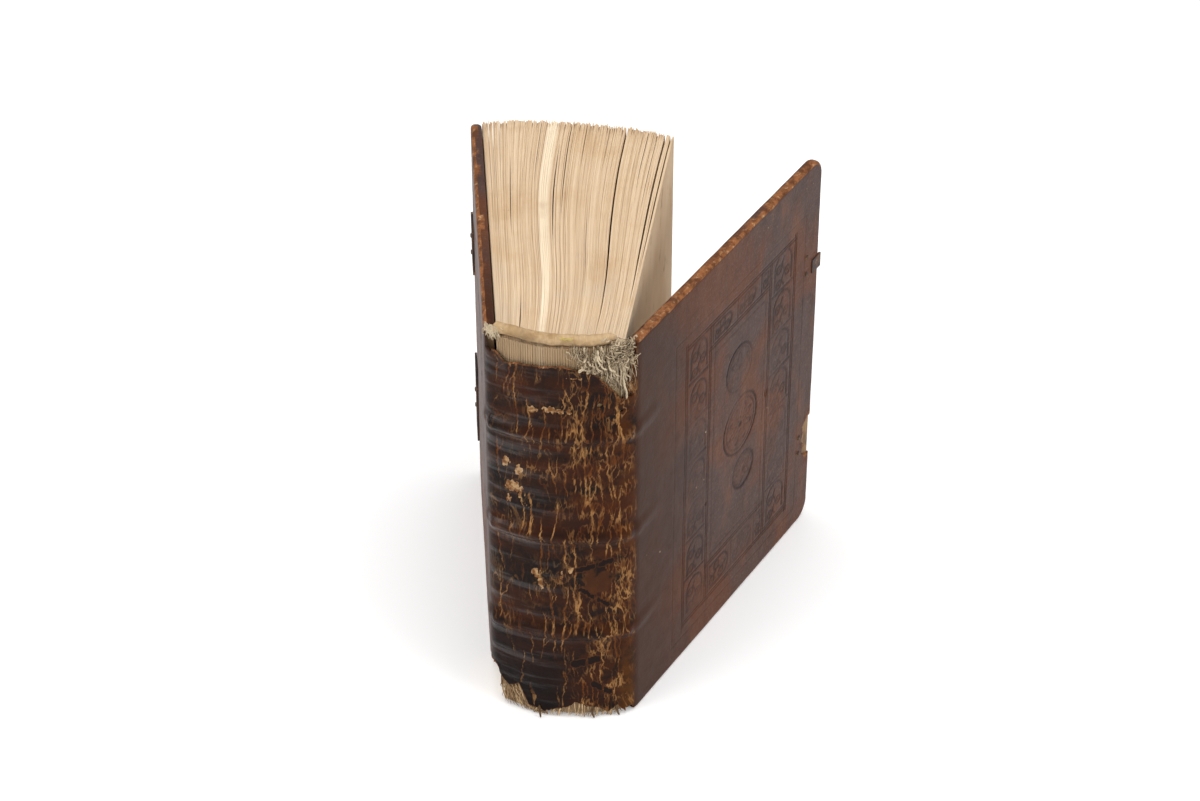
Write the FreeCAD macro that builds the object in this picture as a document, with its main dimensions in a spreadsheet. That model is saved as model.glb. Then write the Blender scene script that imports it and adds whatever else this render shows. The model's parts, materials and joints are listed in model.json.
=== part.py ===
import FreeCAD, Part
import Sketcher
import math
import os

# Antique leather book on its tail: back cover closed, front cover swung open.
# X runs through the thickness (back to front), Y from the spine to the fore edge, Z up.

vec = FreeCAD.Vector
doc = FreeCAD.newDocument("antique_book")

# Driving sizes, millimetres and degrees
sizes = doc.addObject("Spreadsheet::Sheet", "sizes")
driving = [
    ("board_height", 200.0, "height of the covers"),
    ("board_width", 163.0, "joint to fore edge of a cover"),
    ("board_thickness", 3.6, "wooden board"),
    ("board_setback", 2.2, "joint to spine edge of the wood"),
    ("board_edge_round", 0.9, "rounded arris of the wood"),
    ("corner_round", 8.0, "worn fore edge corners"),
    ("cover_leather", 0.8, "leather on the outside of a board"),
    ("leather_setback", 1.3, "joint to spine edge of the cover leather"),
    ("turn_in_leather", 0.5, "pared leather turned in"),
    ("turn_in_width", 17.0, "width of the turn-ins"),
    ("pastedown_thickness", 0.3, "paper pasted on the inner face"),
    ("pastedown_clearance", 0.3, "pastedown to turn-in"),
    ("joint_span", 62.9, "joint to joint over the spine"),
    ("spine_skew", 5.6, "how far the spine is cocked"),
    ("spine_bulge", 8.5, "rise of the rounded spine over its chord"),
    ("spine_leather", 1.1, "leather on the spine"),
    ("spine_lining", 0.4, "parchment lining between the bands"),
    ("layer_clearance", 0.05, "between spine layers"),
    ("joint_clearance", 0.3, "spine leather to joint"),
    ("fan_angle", 6.0, "each side of the fanned leaves"),
    ("front_opening", 22.3, "front cover away from the leaves"),
    ("cover_clearance", 0.35, "cover to leaves"),
    ("head_square", 1.0, "cover over the leaves at the head"),
    ("tail_square", 1.0, "cover below the leaves at the tail"),
    ("back_leaf_reach", 164.5, "fore edge of the last leaf"),
    ("front_leaf_reach", 156.0, "fore edge of the first leaf"),
    ("fore_edge_arch", 6.0, "arch of the fore edge"),
    ("deckle_depth", 0.7, "unevenness of the fore edge"),
    ("gathering_count", 52, "sewn gatherings"),
    ("fold_fullness", 0.4, "valley between two folds, as a share of a gathering"),
    ("leaf_gap_width", 1.1, "mouth of the widest gap between leaves"),
    ("cord_radius", 1.3, "sewing cord"),
    ("cord_pair_pitch", 2.8, "between the two cords of a band"),
    ("first_band_height", 49.0, "tail to first raised band"),
    ("band_pitch", 53.0, "between raised bands"),
    ("band_count", 3, "raised bands"),
    ("band_rise", 2.5, "raised band over the spine"),
    ("band_margin", 1.3, "leather pressed down beside the cords"),
    ("headband_radius", 2.6, "rolled core of the headband"),
    ("fringe_thickness", 2.6, "mat of frayed threads"),
    ("lining_inset", 15.0, "cover end to the nearest lining"),
    ("channel_length", 24.0, "cord channel in the board"),
    ("channel_width", 7.0, "cord channel in the board"),
    ("channel_depth", 1.4, "cord channel in the board"),
    ("slip_clearance", 0.1, "cord to channel"),
    ("peg_radius", 2.0, "peg that holds the cords"),
    ("peg_inset", 4.0, "peg centre to channel end"),
    ("strap_thickness", 1.0, "clasp strap remains"),
    ("strap_width", 16.0, "strap remains along the board"),
    ("strap_inset", 1.0, "strap remains to fore edge"),
    ("upper_strap_height", 24.0, "upper strap remains"),
    ("lower_strap_height", 40.0, "lower strap remains"),
    ("upper_clasp_level", 138.0, "middle of the upper back strap"),
    ("lower_clasp_level", 51.0, "middle of the lower back strap"),
    ("clasp_seat_width", 7.0, "upper clasp seat on the front cover"),
    ("clasp_seat_height", 16.0, "upper clasp seat on the front cover"),
    ("clasp_seat_depth", 0.5, "upper clasp seat in the leather"),
    ("front_clasp_level", 148.0, "middle of the upper front seat"),
    ("torn_clasp_level", 47.0, "middle of the torn lower seat"),
    ("torn_clasp_height", 24.0, "height of the torn lower seat"),
    ("torn_clasp_width", 9.0, "depth of the torn lower seat"),
    ("nail_radius", 0.6, "clasp nail shank"),
    ("nail_head_radius", 1.3, "clasp nail head"),
    ("nail_head_height", 0.6, "clasp nail head"),
    ("nail_crown_radius", 0.8, "flat on top of a nail head"),
    ("nail_length", 3.2, "clasp nail below its head"),
    ("nail_spacing", 9.0, "between two nails of a clasp"),
    ("nail_inset", 3.0, "front nails behind the torn seat"),
    ("scrap_height", 7.0, "scrap of strap"),
    ("scrap_overhang", 0.8, "scrap of strap past the fore edge"),
    ("broken_corner_width", 27.0, "lost back corner along the tail"),
    ("broken_corner_height", 21.0, "lost back corner up the joint"),
    ("leather_loss_margin", 2.5, "leather lost past the broken wood"),
]
for row, (alias, value, note) in enumerate(driving, start=1):
    sizes.set("A%d" % row, note)
    sizes.set("B%d" % row, str(value))
    sizes.setAlias("B%d" % row, alias)
doc.recompute()


def size(alias):
    return float(sizes.get(alias))


nodes = []


def node(label, shape_object, placement):
    """Name a finished sub-part and put it in its place."""
    shape_object.Label = label
    shape_object.Placement = placement
    nodes.append(shape_object)
    return shape_object


def feature(name, shape):
    item = doc.addObject("Part::Feature", name)
    item.Shape = shape
    return item


# Places worked out from the driving sizes
span = size("joint_span")
bulge = size("spine_bulge")
skew = math.radians(size("spine_skew"))
fan = math.radians(size("fan_angle"))
height = size("board_height")
spine_radius = (span ** 2 / 4 + bulge ** 2) / (2 * bulge)
spine_half_angle = math.asin(span / 2 / spine_radius)
centre_back = spine_radius - bulge
fold_radius = spine_radius - size("spine_leather") - size("spine_lining") - 2 * size("layer_clearance")
cover_total = size("board_thickness") + size("cover_leather") + size("turn_in_leather")
head_level = height - size("head_square")
tail_level = size("tail_square")


def from_spine(x, y):
    """A point of the cocked spine, told in the book's own axes."""
    return vec(x * math.cos(skew) + y * math.sin(skew), y * math.cos(skew) - x * math.sin(skew), 0)


front_joint = from_spine(span / 2, 0)
back_joint = from_spine(-span / 2, 0)
spine_centre = from_spine(0, centre_back)
spine_place = FreeCAD.Placement(spine_centre, FreeCAD.Rotation(vec(0, 0, 1), -math.degrees(skew)))

covers = {
    "front": {"side": 1, "place": FreeCAD.Placement(front_joint, FreeCAD.Rotation(
        vec(0, 0, 1), 90 - size("fan_angle") - size("front_opening")))},
    "back": {"side": -1, "place": FreeCAD.Placement(back_joint, FreeCAD.Rotation(
        vec(0, 0, 1), 90 + size("fan_angle")))},
}


# Covers: each is drawn with X from the joint to the fore edge, Z up and the outer face at Y = 0
def body_plane(body, role):
    return [item for item in body.Origin.OriginFeatures if item.Role == role][0]


def plate(name, side, left, right, bottom, top, lift, thickness):
    """A flat rectangular plate padded inwards from a sketch that lies lift below the outer face."""
    body = doc.addObject("PartDesign::Body", name)
    sketch = body.newObject("Sketcher::SketchObject", name + "_outline")
    sketch.AttachmentSupport = [(body_plane(body, "XZ_Plane"), "")]
    sketch.MapMode = "FlatFace"
    sketch.setExpression(".AttachmentOffset.Base.z", "%d * (%s)" % (-side, lift))
    corners = [vec(0, 0, 0), vec(50, 0, 0), vec(50, 80, 0), vec(0, 80, 0)]
    for index in range(4):
        sketch.addGeometry(Part.LineSegment(corners[index], corners[(index + 1) % 4]), False)
    for index in range(4):
        sketch.addConstraint(Sketcher.Constraint("Coincident", index, 2, (index + 1) % 4, 1))
    for index in (0, 2):
        sketch.addConstraint(Sketcher.Constraint("Horizontal", index))
    for index in (1, 3):
        sketch.addConstraint(Sketcher.Constraint("Vertical", index))
    for kind, line, point, expression in (
            ("DistanceX", 0, 1, left), ("DistanceY", 0, 1, bottom),
            ("DistanceX", 1, 2, right), ("DistanceY", 1, 2, top)):
        place = sketch.addConstraint(Sketcher.Constraint(kind, -1, 1, line, point, 1.0))
        sketch.setExpression("Constraints[%d]" % place, expression)
    pad = body.newObject("PartDesign::Pad", name + "_pad")
    pad.Profile = sketch
    pad.setExpression("Length", thickness)
    pad.Reversed = side > 0
    doc.recompute()
    return body


def round_edges(body, wanted, radius):
    """Fillet the edges of the body's last feature for which wanted(bounding box) holds."""
    base = body.Tip
    names = ["Edge%d" % (index + 1) for index, edge in enumerate(base.Shape.Edges) if wanted(edge.BoundBox)]
    fillet = body.newObject("PartDesign::Fillet", body.Name + "_round%d" % len(body.Group))
    fillet.Base = (base, names)
    fillet.setExpression("Radius", radius)
    body.Tip = fillet
    doc.recompute()
    return fillet


def rounded_plate(name, side, left, right, bottom, top, lift, thickness, corner, arris):
    """A board shape: two rounded fore edge corners and a rounded arris all round but at the spine."""
    body = plate(name, side, left, right, bottom, top, lift, thickness)
    box = body.Shape.BoundBox
    round_edges(body, lambda b: b.XMin > box.XMax - 0.01 and b.ZLength < 0.01, corner)
    flat = 0.01
    round_edges(body, lambda b: b.YLength < flat and b.XMax > box.XMin + flat, arris)
    return body


def prism(name, side, points, low, high):
    """A straight tool through a cover: points are (along, up), low and high are depths from the outer face."""
    wire = Part.makePolygon([vec(x, side * low, z) for x, z in points] + [vec(points[0][0], side * low, points[0][1])])
    return feature(name, Part.Face(wire).extrude(vec(0, side * (high - low), 0)))


def cut(name, base, tool):
    item = doc.addObject("Part::Cut", name)
    item.Base = base
    item.Tool = tool
    doc.recompute()
    return item


def fuse_all(name, items):
    item = doc.addObject("Part::MultiFuse", name)
    item.Shapes = items
    doc.recompute()
    return item


def band_levels():
    return [size("first_band_height") + index * size("band_pitch") for index in range(int(size("band_count")))]


def slip_channels(name, side):
    """Channels for the laced-in cords, each with the hole that its peg fills."""
    parts = []
    for index, level in enumerate(band_levels()):
        channel = plate("%s_channel%d" % (name, index), side, "sizes.board_setback - 1",
                        "sizes.channel_length",
                        "%g - sizes.channel_width / 2" % level, "%g + sizes.channel_width / 2" % level,
                        "sizes.cover_leather - 1", "sizes.channel_depth + 1")
        hole = doc.addObject("Part::Cylinder", "%s_hole%d" % (name, index))
        hole.setExpression("Radius", "sizes.peg_radius")
        hole.setExpression("Height", "sizes.board_thickness + 2")
        hole.Placement = FreeCAD.Placement(
            vec(size("channel_length") - size("peg_inset"), 0, level),
            FreeCAD.Rotation(vec(1, 0, 0), -90 * side))
        parts += [channel, hole]
    return fuse_all(name, parts)


corner_break = [(-2, -2), (1.0, -0.1), (0.86, 0.24), (0.62, 0.40), (0.50, 0.66), (0.24, 0.80), (-2, 1.0)]
clasp_tear = [(1.3, -0.5), (1.3, 0.5), (0.35, 0.46), (0.05, 0.30), (0.22, 0.05), (0.0, -0.18), (0.40, -0.46)]


def broken_corner(name, side, grow):
    """The lost corner of the back cover, by its tail and joint; grow sets one layer back from another."""
    points = []
    for along, up in corner_break:
        x = along * (size("broken_corner_width") + grow) if along > 0 else along
        z = up * (size("broken_corner_height") + grow) if up > 0 else up
        points.append((x, z))
    return prism(name, side, points, -2, cover_total + 2)


def nail(name, along, level, face, side):
    """A clasp nail driven inwards from the depth called face."""
    shank = doc.addObject("Part::Cylinder", name + "_shank")
    shank.setExpression("Radius", "sizes.nail_radius")
    shank.setExpression("Height", "sizes.nail_length")
    head = doc.addObject("Part::Cone", name + "_head")
    head.setExpression("Radius1", "sizes.nail_head_radius")
    head.setExpression("Radius2", "sizes.nail_crown_radius")
    head.setExpression("Height", "sizes.nail_head_height")
    start = vec(along, side * face, level)
    shank.Placement = FreeCAD.Placement(start, FreeCAD.Rotation(vec(1, 0, 0), -90 * side))
    head.Placement = FreeCAD.Placement(start, FreeCAD.Rotation(vec(1, 0, 0), 90 * side))
    return fuse_all(name, [shank, head])


def clasp_nails(which, side):
    """Two nails at each clasp: through the strap ends at the back, by the torn seats at the front."""
    if which == "back":
        along = size("board_width") - size("strap_inset") - size("strap_width") / 2
        levels = (size("upper_clasp_level"), size("lower_clasp_level"))
        face = -size("strap_thickness")
    else:
        along = size("board_width") - size("torn_clasp_width") - size("nail_inset")
        levels = (size("front_clasp_level"), size("torn_clasp_level"))
        face = 0
    return [nail("%s_nail%d%d" % (which, clasp, place), along, level + offset * size("nail_spacing"), face, side)
            for clasp, level in enumerate(levels) for place, offset in enumerate((-0.5, 0.5))]


def group(name, items):
    item = doc.addObject("Part::Compound", name)
    item.Links = items
    doc.recompute()
    return item


def wooden_board(which, side, place, nails):
    board_args = (side, "sizes.board_setback", "sizes.board_width - sizes.cover_leather",
                  "sizes.cover_leather", "sizes.board_height - sizes.cover_leather", "sizes.cover_leather",
                  "sizes.board_thickness", "sizes.corner_round", "sizes.board_edge_round")
    blank = rounded_plate(which + "_board_blank", *board_args)
    board = cut(which + "_board_laced", blank, slip_channels(which + "_channels", side))
    board = cut(which + "_board_nailed", board, fuse_all(which + "_board_nail_holes", nails))
    if which == "back":
        board = cut("back_board_broken", board, broken_corner("board_loss", side, 0))
    node(which + "_board", board, place)
    return rounded_plate(which + "_board_core", *board_args)


def cover_skin(which, side, place, nails, core):
    """Leather over the outer face, turned in over three edges, with the wood's room taken out of it."""
    skin = rounded_plate(which + "_leather_blank", side, "sizes.leather_setback", "sizes.board_width", "0",
                         "sizes.board_height", "0",
                         "sizes.cover_leather + sizes.board_thickness + sizes.turn_in_leather",
                         "sizes.corner_round + sizes.cover_leather",
                         "sizes.board_edge_round + sizes.cover_leather")
    throat = plate(which + "_throat", side, "sizes.leather_setback - 1", "sizes.board_setback + 1",
                   "sizes.cover_leather + sizes.board_edge_round",
                   "sizes.board_height - sizes.cover_leather - sizes.board_edge_round",
                   "sizes.cover_leather", "sizes.board_thickness")
    window = plate(which + "_window", side, "sizes.leather_setback - 1",
                   "sizes.board_width - sizes.turn_in_width", "sizes.turn_in_width",
                   "sizes.board_height - sizes.turn_in_width",
                   "sizes.cover_leather + sizes.board_thickness", "sizes.turn_in_leather + 1")
    leather = cut(which + "_leather_wrap", skin, fuse_all(which + "_inside", [core, throat, window]))
    leather = cut(which + "_leather_nailed", leather, fuse_all(which + "_leather_nail_holes", nails))
    if which == "back":
        leather = cut("back_leather_broken", leather,
                      broken_corner("leather_loss", side, size("leather_loss_margin")))
    else:
        right = size("board_width")
        tear = [(right + (along - 1) * size("torn_clasp_width"),
                 size("torn_clasp_level") + up * size("torn_clasp_height")) for along, up in clasp_tear]
        leather = cut("front_leather_torn", leather, prism("clasp_loss", side, tear, -1, cover_total + 1))
        seat = plate("clasp_seat", side, "sizes.board_width - sizes.clasp_seat_width",
                     "sizes.board_width + 1", "sizes.front_clasp_level - sizes.clasp_seat_height / 2",
                     "sizes.front_clasp_level + sizes.clasp_seat_height / 2", "-1",
                     "sizes.clasp_seat_depth + 1")
        leather = cut("front_leather_seated", leather, seat)
    node(which + "_leather", leather, place)


def pasted_paper(which, side, place):
    pastedown = plate(which + "_paste", side, "sizes.board_setback",
                      "sizes.board_width - sizes.turn_in_width - sizes.pastedown_clearance",
                      "sizes.turn_in_width + sizes.pastedown_clearance",
                      "sizes.board_height - sizes.turn_in_width - sizes.pastedown_clearance",
                      "sizes.cover_leather + sizes.board_thickness", "sizes.pastedown_thickness")
    if which == "back":
        pastedown = cut("back_paste_broken", pastedown,
                        broken_corner("paste_loss", side, size("leather_loss_margin") / 2))
    node(which + "_pastedown", pastedown, place)


def laced_cords(which, side, place):
    """The ends of the sewing cords in their channels, and the pegs below them."""
    pegs = []
    for name, level in zip(("tail", "middle", "head"), band_levels()):
        slip = plate("%s_slip_%s" % (which, name), side, "sizes.board_setback + sizes.slip_clearance",
                     "sizes.channel_length - sizes.slip_clearance",
                     "%g - sizes.channel_width / 2 + sizes.slip_clearance" % level,
                     "%g + sizes.channel_width / 2 - sizes.slip_clearance" % level,
                     "sizes.cover_leather + sizes.slip_clearance", "sizes.channel_depth - sizes.slip_clearance")
        node("%s_laced_cord_%s" % (which, name), slip, place)
        peg = doc.addObject("Part::Cylinder", "%s_peg_%s" % (which, name))
        peg.setExpression("Radius", "sizes.peg_radius")
        peg.setExpression("Height", "sizes.board_thickness - sizes.channel_depth")
        peg.Placement = FreeCAD.Placement(
            vec(size("channel_length") - size("peg_inset"),
                side * (size("cover_leather") + size("channel_depth")), level),
            FreeCAD.Rotation(vec(1, 0, 0), -90 * side))
        pegs.append(peg)
    node(which + "_board_pegs", group(which + "_peg_group", pegs), place)


def back_strap_ends(side, place, nails):
    """Thin ends of the two clasp straps, nailed to the outer face by the fore edge."""
    for name in ("upper", "lower"):
        middle = "sizes.%s_clasp_level" % name
        half = "sizes.%s_strap_height / 2" % name
        strap = plate(name + "_strap", side, "sizes.board_width - sizes.strap_inset - sizes.strap_width",
                      "sizes.board_width - sizes.strap_inset", "%s - %s" % (middle, half),
                      "%s + %s" % (middle, half), "-sizes.strap_thickness", "sizes.strap_thickness")
        holed = cut(name + "_strap_nailed", strap, fuse_all(name + "_strap_nail_holes", nails))
        node("back_strap_end_" + name, holed, place)


def front_strap_scrap(side, place):
    """The scrap of strap that is left in the upper clasp seat."""
    scrap = plate("strap_scrap", side, "sizes.board_width - sizes.clasp_seat_width + sizes.slip_clearance",
                  "sizes.board_width + sizes.scrap_overhang",
                  "sizes.front_clasp_level - sizes.scrap_height", "sizes.front_clasp_level",
                  "sizes.clasp_seat_depth - sizes.strap_thickness", "sizes.strap_thickness")
    node("front_strap_scrap", scrap, place)


for which, cover in covers.items():
    side = cover["side"]
    place = cover["place"]
    nails = clasp_nails(which, side)
    core = wooden_board(which, side, place, nails)
    cover_skin(which, side, place, nails, core)
    pasted_paper(which, side, place)
    laced_cords(which, side, place)
    if which == "back":
        back_strap_ends(side, place, nails)
    else:
        front_strap_scrap(side, place)
    node(which + "_clasp_nails", group(which + "_nail_group", nails), place)


# Spine layers, drawn about the axis of the rounded spine with the spine towards -Y
def spine_sweep(profile, start, finish):
    """Turn a face that stands in the YZ plane from one spine angle to another, both in radians."""
    face = profile.copy()
    face.rotate(vec(0, 0, 0), vec(0, 0, 1), math.degrees(start))
    return face.revolve(vec(0, 0, 0), vec(0, 0, 1), math.degrees(finish - start))


def ring_face(inner, outer, bottom, top):
    corners = [vec(0, -inner, bottom), vec(0, -outer, bottom), vec(0, -outer, top), vec(0, -inner, top)]
    return Part.Face(Part.makePolygon(corners + corners[:1]))


def side_meets_folds(joint, hand):
    """Where a side of the leaves meets the circle of the folds, as an angle about the spine's axis."""
    inward = vec(-hand * math.cos(fan), math.sin(fan), 0)
    along = vec(hand * math.sin(fan), math.cos(fan), 0)
    start = joint + inward * (cover_total + size("cover_clearance"))
    gap = start - spine_centre
    half = gap.dot(along)
    reach = -half - math.sqrt(half ** 2 - gap.dot(gap) + fold_radius ** 2)
    corner = start + along * reach
    local = spine_place.inverse().multVec(corner)
    return corner, along, math.atan2(local.x, -local.y)


front_corner, front_along, front_angle = side_meets_folds(front_joint, 1)
back_corner, back_along, back_angle = side_meets_folds(back_joint, -1)

cord_centre = fold_radius + size("layer_clearance") + size("cord_radius")
band_half = size("cord_pair_pitch") / 2 + size("cord_radius") + size("band_margin")
band_radius = (band_half ** 2 + size("band_rise") ** 2) / (2 * size("band_rise"))


def band_edges(radius, level, grow):
    """The rise of the leather over one band, as an arc that leaves and meets the given radius."""
    hub = spine_radius - size("spine_leather") + size("band_rise") - band_radius
    reach = band_radius + grow
    half = math.sqrt(reach ** 2 - (radius - hub) ** 2)
    return [vec(0, -radius, level - half), vec(0, -(hub + reach), level), vec(0, -radius, level + half)]


def leather_profile():
    inner = spine_radius - size("spine_leather")
    edges = []
    last = vec(0, -spine_radius, 0)
    for level in band_levels():
        low, crest, high = band_edges(spine_radius, level, size("spine_leather"))
        edges += [Part.LineSegment(last, low).toShape(), Part.Arc(low, crest, high).toShape()]
        last = high
    edges += [Part.LineSegment(last, vec(0, -spine_radius, height)).toShape(),
              Part.LineSegment(vec(0, -spine_radius, height), vec(0, -inner, height)).toShape()]
    last = vec(0, -inner, height)
    for level in reversed(band_levels()):
        low, crest, high = band_edges(inner, level, 0)
        edges += [Part.LineSegment(last, high).toShape(), Part.Arc(high, crest, low).toShape()]
        last = low
    edges += [Part.LineSegment(last, vec(0, -inner, 0)).toShape(),
              Part.LineSegment(vec(0, -inner, 0), vec(0, -spine_radius, 0)).toShape()]
    return Part.Face(Part.Wire(edges))


# Torn edges of the spine leather: (share of the half span, distance from the end of the cover)
head_tear = [(-1.1, -5), (-1.1, 7), (-0.86, 8), (-0.72, 12), (-0.50, 10.5), (-0.22, 10.3), (0.06, 9.1),
             (0.25, 11), (0.51, 13.7), (0.61, 17.6), (0.78, 24), (0.86, 27.5), (0.90, 22), (0.93, 15),
             (0.96, 10), (1.1, 6), (1.1, -5)]
tail_tear = [(-1.1, -5), (-1.1, 22), (-0.95, 20), (-0.88, 16), (-0.76, 12.2), (-0.60, 15), (-0.45, 4.5),
             (-0.22, 2.9), (-0.06, 5), (0.10, 6.5), (0.22, 9.5), (0.40, 7), (0.55, 5.8), (0.67, 2.8),
             (0.80, 6), (0.92, 1.5), (1.1, 2.5), (1.1, -5)]


def tear_tool(points, level, direction):
    """A straight cut through the spine, front to back, along a torn line."""
    corners = [vec(share * span / 2, -spine_radius - size("band_rise") - 1, level + direction * down)
               for share, down in points]
    return Part.Face(Part.makePolygon(corners + corners[:1])).extrude(vec(0, spine_radius, 0))


# Leather of the spine, thin sides trimmed to the planes of the joints
joint_angle = spine_half_angle - size("joint_clearance") / spine_radius
half_width = spine_radius * math.sin(joint_angle)
between_joints = Part.makeBox(2 * half_width, spine_radius, height,
                              vec(-half_width, -spine_radius - bulge, 0))
whole_leather = feature("spine_leather_whole", spine_sweep(
    leather_profile(), -joint_angle, joint_angle).common(between_joints))
torn_edges = feature("spine_tears", Part.makeCompound(
    [tear_tool(head_tear, height, -1), tear_tool(tail_tear, 0, 1)]))
spine_leather = cut("spine_leather_torn", whole_leather, torn_edges)
node("spine_leather", spine_leather, spine_place)

cord_start = back_angle + size("cord_radius") / spine_radius
cord_finish = front_angle - size("cord_radius") / spine_radius
for name, level in zip(("tail", "middle", "head"), band_levels()):
    cords = []
    for hand in (-1, 1):
        middle = vec(0, -cord_centre, level + hand * size("cord_pair_pitch") / 2)
        ring = Part.Face(Part.Wire(Part.makeCircle(size("cord_radius"), middle, vec(1, 0, 0))))
        cords.append(spine_sweep(ring, cord_start, cord_finish))
    node("sewing_cords_" + name, feature("cords_" + name, Part.makeCompound(cords)), spine_place)

lining_inner = fold_radius + size("layer_clearance")
beside_bands = [level + hand * (band_half + size("joint_clearance")) for level in band_levels() for hand in (-1, 1)]
lining_ends = [size("lining_inset")] + beside_bands + [height - size("lining_inset")]
panels = Part.makeCompound([
    spine_sweep(ring_face(lining_inner, lining_inner + size("spine_lining"), low, high), cord_start, cord_finish)
    for low, high in zip(lining_ends[0::2], lining_ends[1::2])])
node("spine_linings", feature("linings", panels), spine_place)

# Rolled headband core on the head of the leaves, and the frayed threads at its broken end
headband_centre = fold_radius - size("headband_radius")
headband_level = head_level + size("headband_radius")
core_ring = Part.Face(Part.Wire(Part.makeCircle(
    size("headband_radius"), vec(0, -headband_centre, headband_level), vec(1, 0, 0))))
core_start = back_angle + size("headband_radius") / spine_radius
core_finish = front_angle - 2 * size("headband_radius") / spine_radius
node("headband_core", feature("core", spine_sweep(core_ring, core_start, core_finish)), spine_place)

# Ragged outlines of the two mats of threads, told like the torn edges of the leather
head_mat = [(0.12, 5), (0.20, -1), (0.29, 2), (0.40, -3), (0.48, 0), (0.58, -3.5), (0.66, -1), (0.76, -3),
            (0.84, 0), (0.89, 8), (0.87, 19), (0.80, 26), (0.72, 21), (0.60, 17), (0.44, 13), (0.30, 14.5),
            (0.18, 12)]
tail_mat = [(-0.88, 20), (-0.90, 6), (-0.82, 2), (-0.74, 4.5), (-0.66, 1.5), (-0.57, 3), (-0.48, 1.2),
            (-0.36, 5), (-0.42, 10), (-0.55, 13), (-0.64, 17), (-0.76, 15)]
mat_start = fold_radius + size("layer_clearance")
mat_ring = ring_face(mat_start, mat_start + size("fringe_thickness"), tail_level, headband_level)
for label, points, level, direction in (("headband_fringe", head_mat, height, -1),
                                        ("tail_fringe", tail_mat, 0, 1)):
    mat = spine_sweep(mat_ring, back_angle, front_angle).common(tear_tool(points, level, direction))
    over_it = whole_leather.Shape.cut(torn_edges.Shape).fuse(panels.Solids)
    node(label, feature(label + "_threads", mat.cut(over_it)), spine_place)


# The leaves: one solid, fanned, folded into gatherings at the spine and uneven at the fore edge
def on_folds(angle, radius):
    return spine_place.multVec(vec(radius * math.sin(angle), -radius * math.cos(angle), 0))


def fore_edge(share):
    """A point of the fore edge, from the back cover (0) to the front cover (1)."""
    left = back_corner + back_along * ((size("back_leaf_reach") - back_corner.y) / back_along.y)
    right = front_corner + front_along * ((size("front_leaf_reach") - front_corner.y) / front_along.y)
    arch = 4 * size("fore_edge_arch") * share * (1 - share)
    return left + (right - left) * share + vec(0, arch, 0)


# Gaps between leaves: place along the fore edge, depth as a share of the leaf, share of the widest mouth, bow
leaf_gaps = [(0.18, 0.42, 0.5, 0.4), (0.34, 0.40, 0.6, -0.6), (0.52, 0.62, 0.5, 0.8), (0.76, 0.93, 1.0, 2.2),
             (0.90, 0.88, 0.8, 1.2), (0.96, 0.70, 0.6, 0.6)]


def leaf_point(share, depth, bow, offset):
    """A point inside the leaves: share across them, depth from the fore edge to the folds."""
    outer = fore_edge(share)
    inner = on_folds(back_angle + (front_angle - back_angle) * share, fold_radius)
    swing = bow * math.sin(math.pi * min(depth / 0.9, 1.0))
    return outer + (inner - outer) * depth + vec(swing + offset, 0, 0)


def leaves_outline():
    edges = []
    count = int(size("gathering_count"))
    step = (front_angle - back_angle) / count
    valley = fold_radius * (1 - size("fold_fullness") * step)
    for index in range(count):
        start = back_angle + index * step
        edges.append(Part.Arc(on_folds(start, valley), on_folds(start + step / 2, fold_radius),
                              on_folds(start + step, valley)).toShape())
    points = [on_folds(front_angle, valley)]
    deckle_steps = 48
    gaps = {round(share * deckle_steps): (depth, mouth, bow) for share, depth, mouth, bow in leaf_gaps}
    for index in range(deckle_steps, -1, -1):
        share = index / deckle_steps
        ragged = size("deckle_depth") * (math.sin(7.3 * index) + 0.6 * math.sin(2.9 * index + 1.0)) / 1.6
        edge = fore_edge(share)
        if index in gaps:
            depth, mouth, bow = gaps[index]
            half = mouth * size("leaf_gap_width") / 2
            points += [edge + vec(half, 0, 0), leaf_point(share, depth * 0.5, bow, half * 0.6),
                       leaf_point(share, depth, bow, 0),
                       leaf_point(share, depth * 0.5, bow, -half * 0.6), edge + vec(-half, 0, 0)]
        else:
            points.append(edge + vec(0, ragged, 0))
    points.append(on_folds(back_angle, valley))
    edges += Part.makePolygon(points).Edges
    return Part.Wire(edges)


leaves = Part.Face(leaves_outline())
leaves.translate(vec(0, 0, tail_level))
text_block = feature("leaves", leaves.extrude(vec(0, 0, head_level - tail_level)))
node("text_block", text_block, FreeCAD.Placement())

# The origin is under the middle of the standing book
doc.recompute()
box = Part.makeCompound([item.Shape for item in nodes]).optimalBoundingBox(True, False)
shift = FreeCAD.Placement(vec(-box.Center.x, -box.Center.y, -box.ZMin), FreeCAD.Rotation())
for item in nodes:
    item.Placement = shift.multiply(item.Placement)
doc.recompute()

for item in doc.Objects:
    if "Invalid" in item.State or "Error" in item.State:
        raise RuntimeError("%s did not build: %s" % (item.Label, item.State))
for item in nodes:
    if item.Shape.isNull() or not item.Shape.isValid() or not item.Shape.Solids:
        raise RuntimeError("%s has no valid solid" % item.Label)

os.makedirs("parts", exist_ok=True)
for item in nodes:
    item.Shape.exportStep("parts/%s.step" % item.Label)
    print(item.Label, len(item.Shape.Solids), round(item.Shape.Volume, 1))
for name, joint in (("front", front_joint), ("back", back_joint)):
    place = shift.multVec(joint)
    print("joint", name, round(place.x, 4), round(place.y, 4))
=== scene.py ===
import bisect
import json
import math
import random

import bmesh
import bpy
import numpy as np
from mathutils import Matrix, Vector, noise

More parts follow.
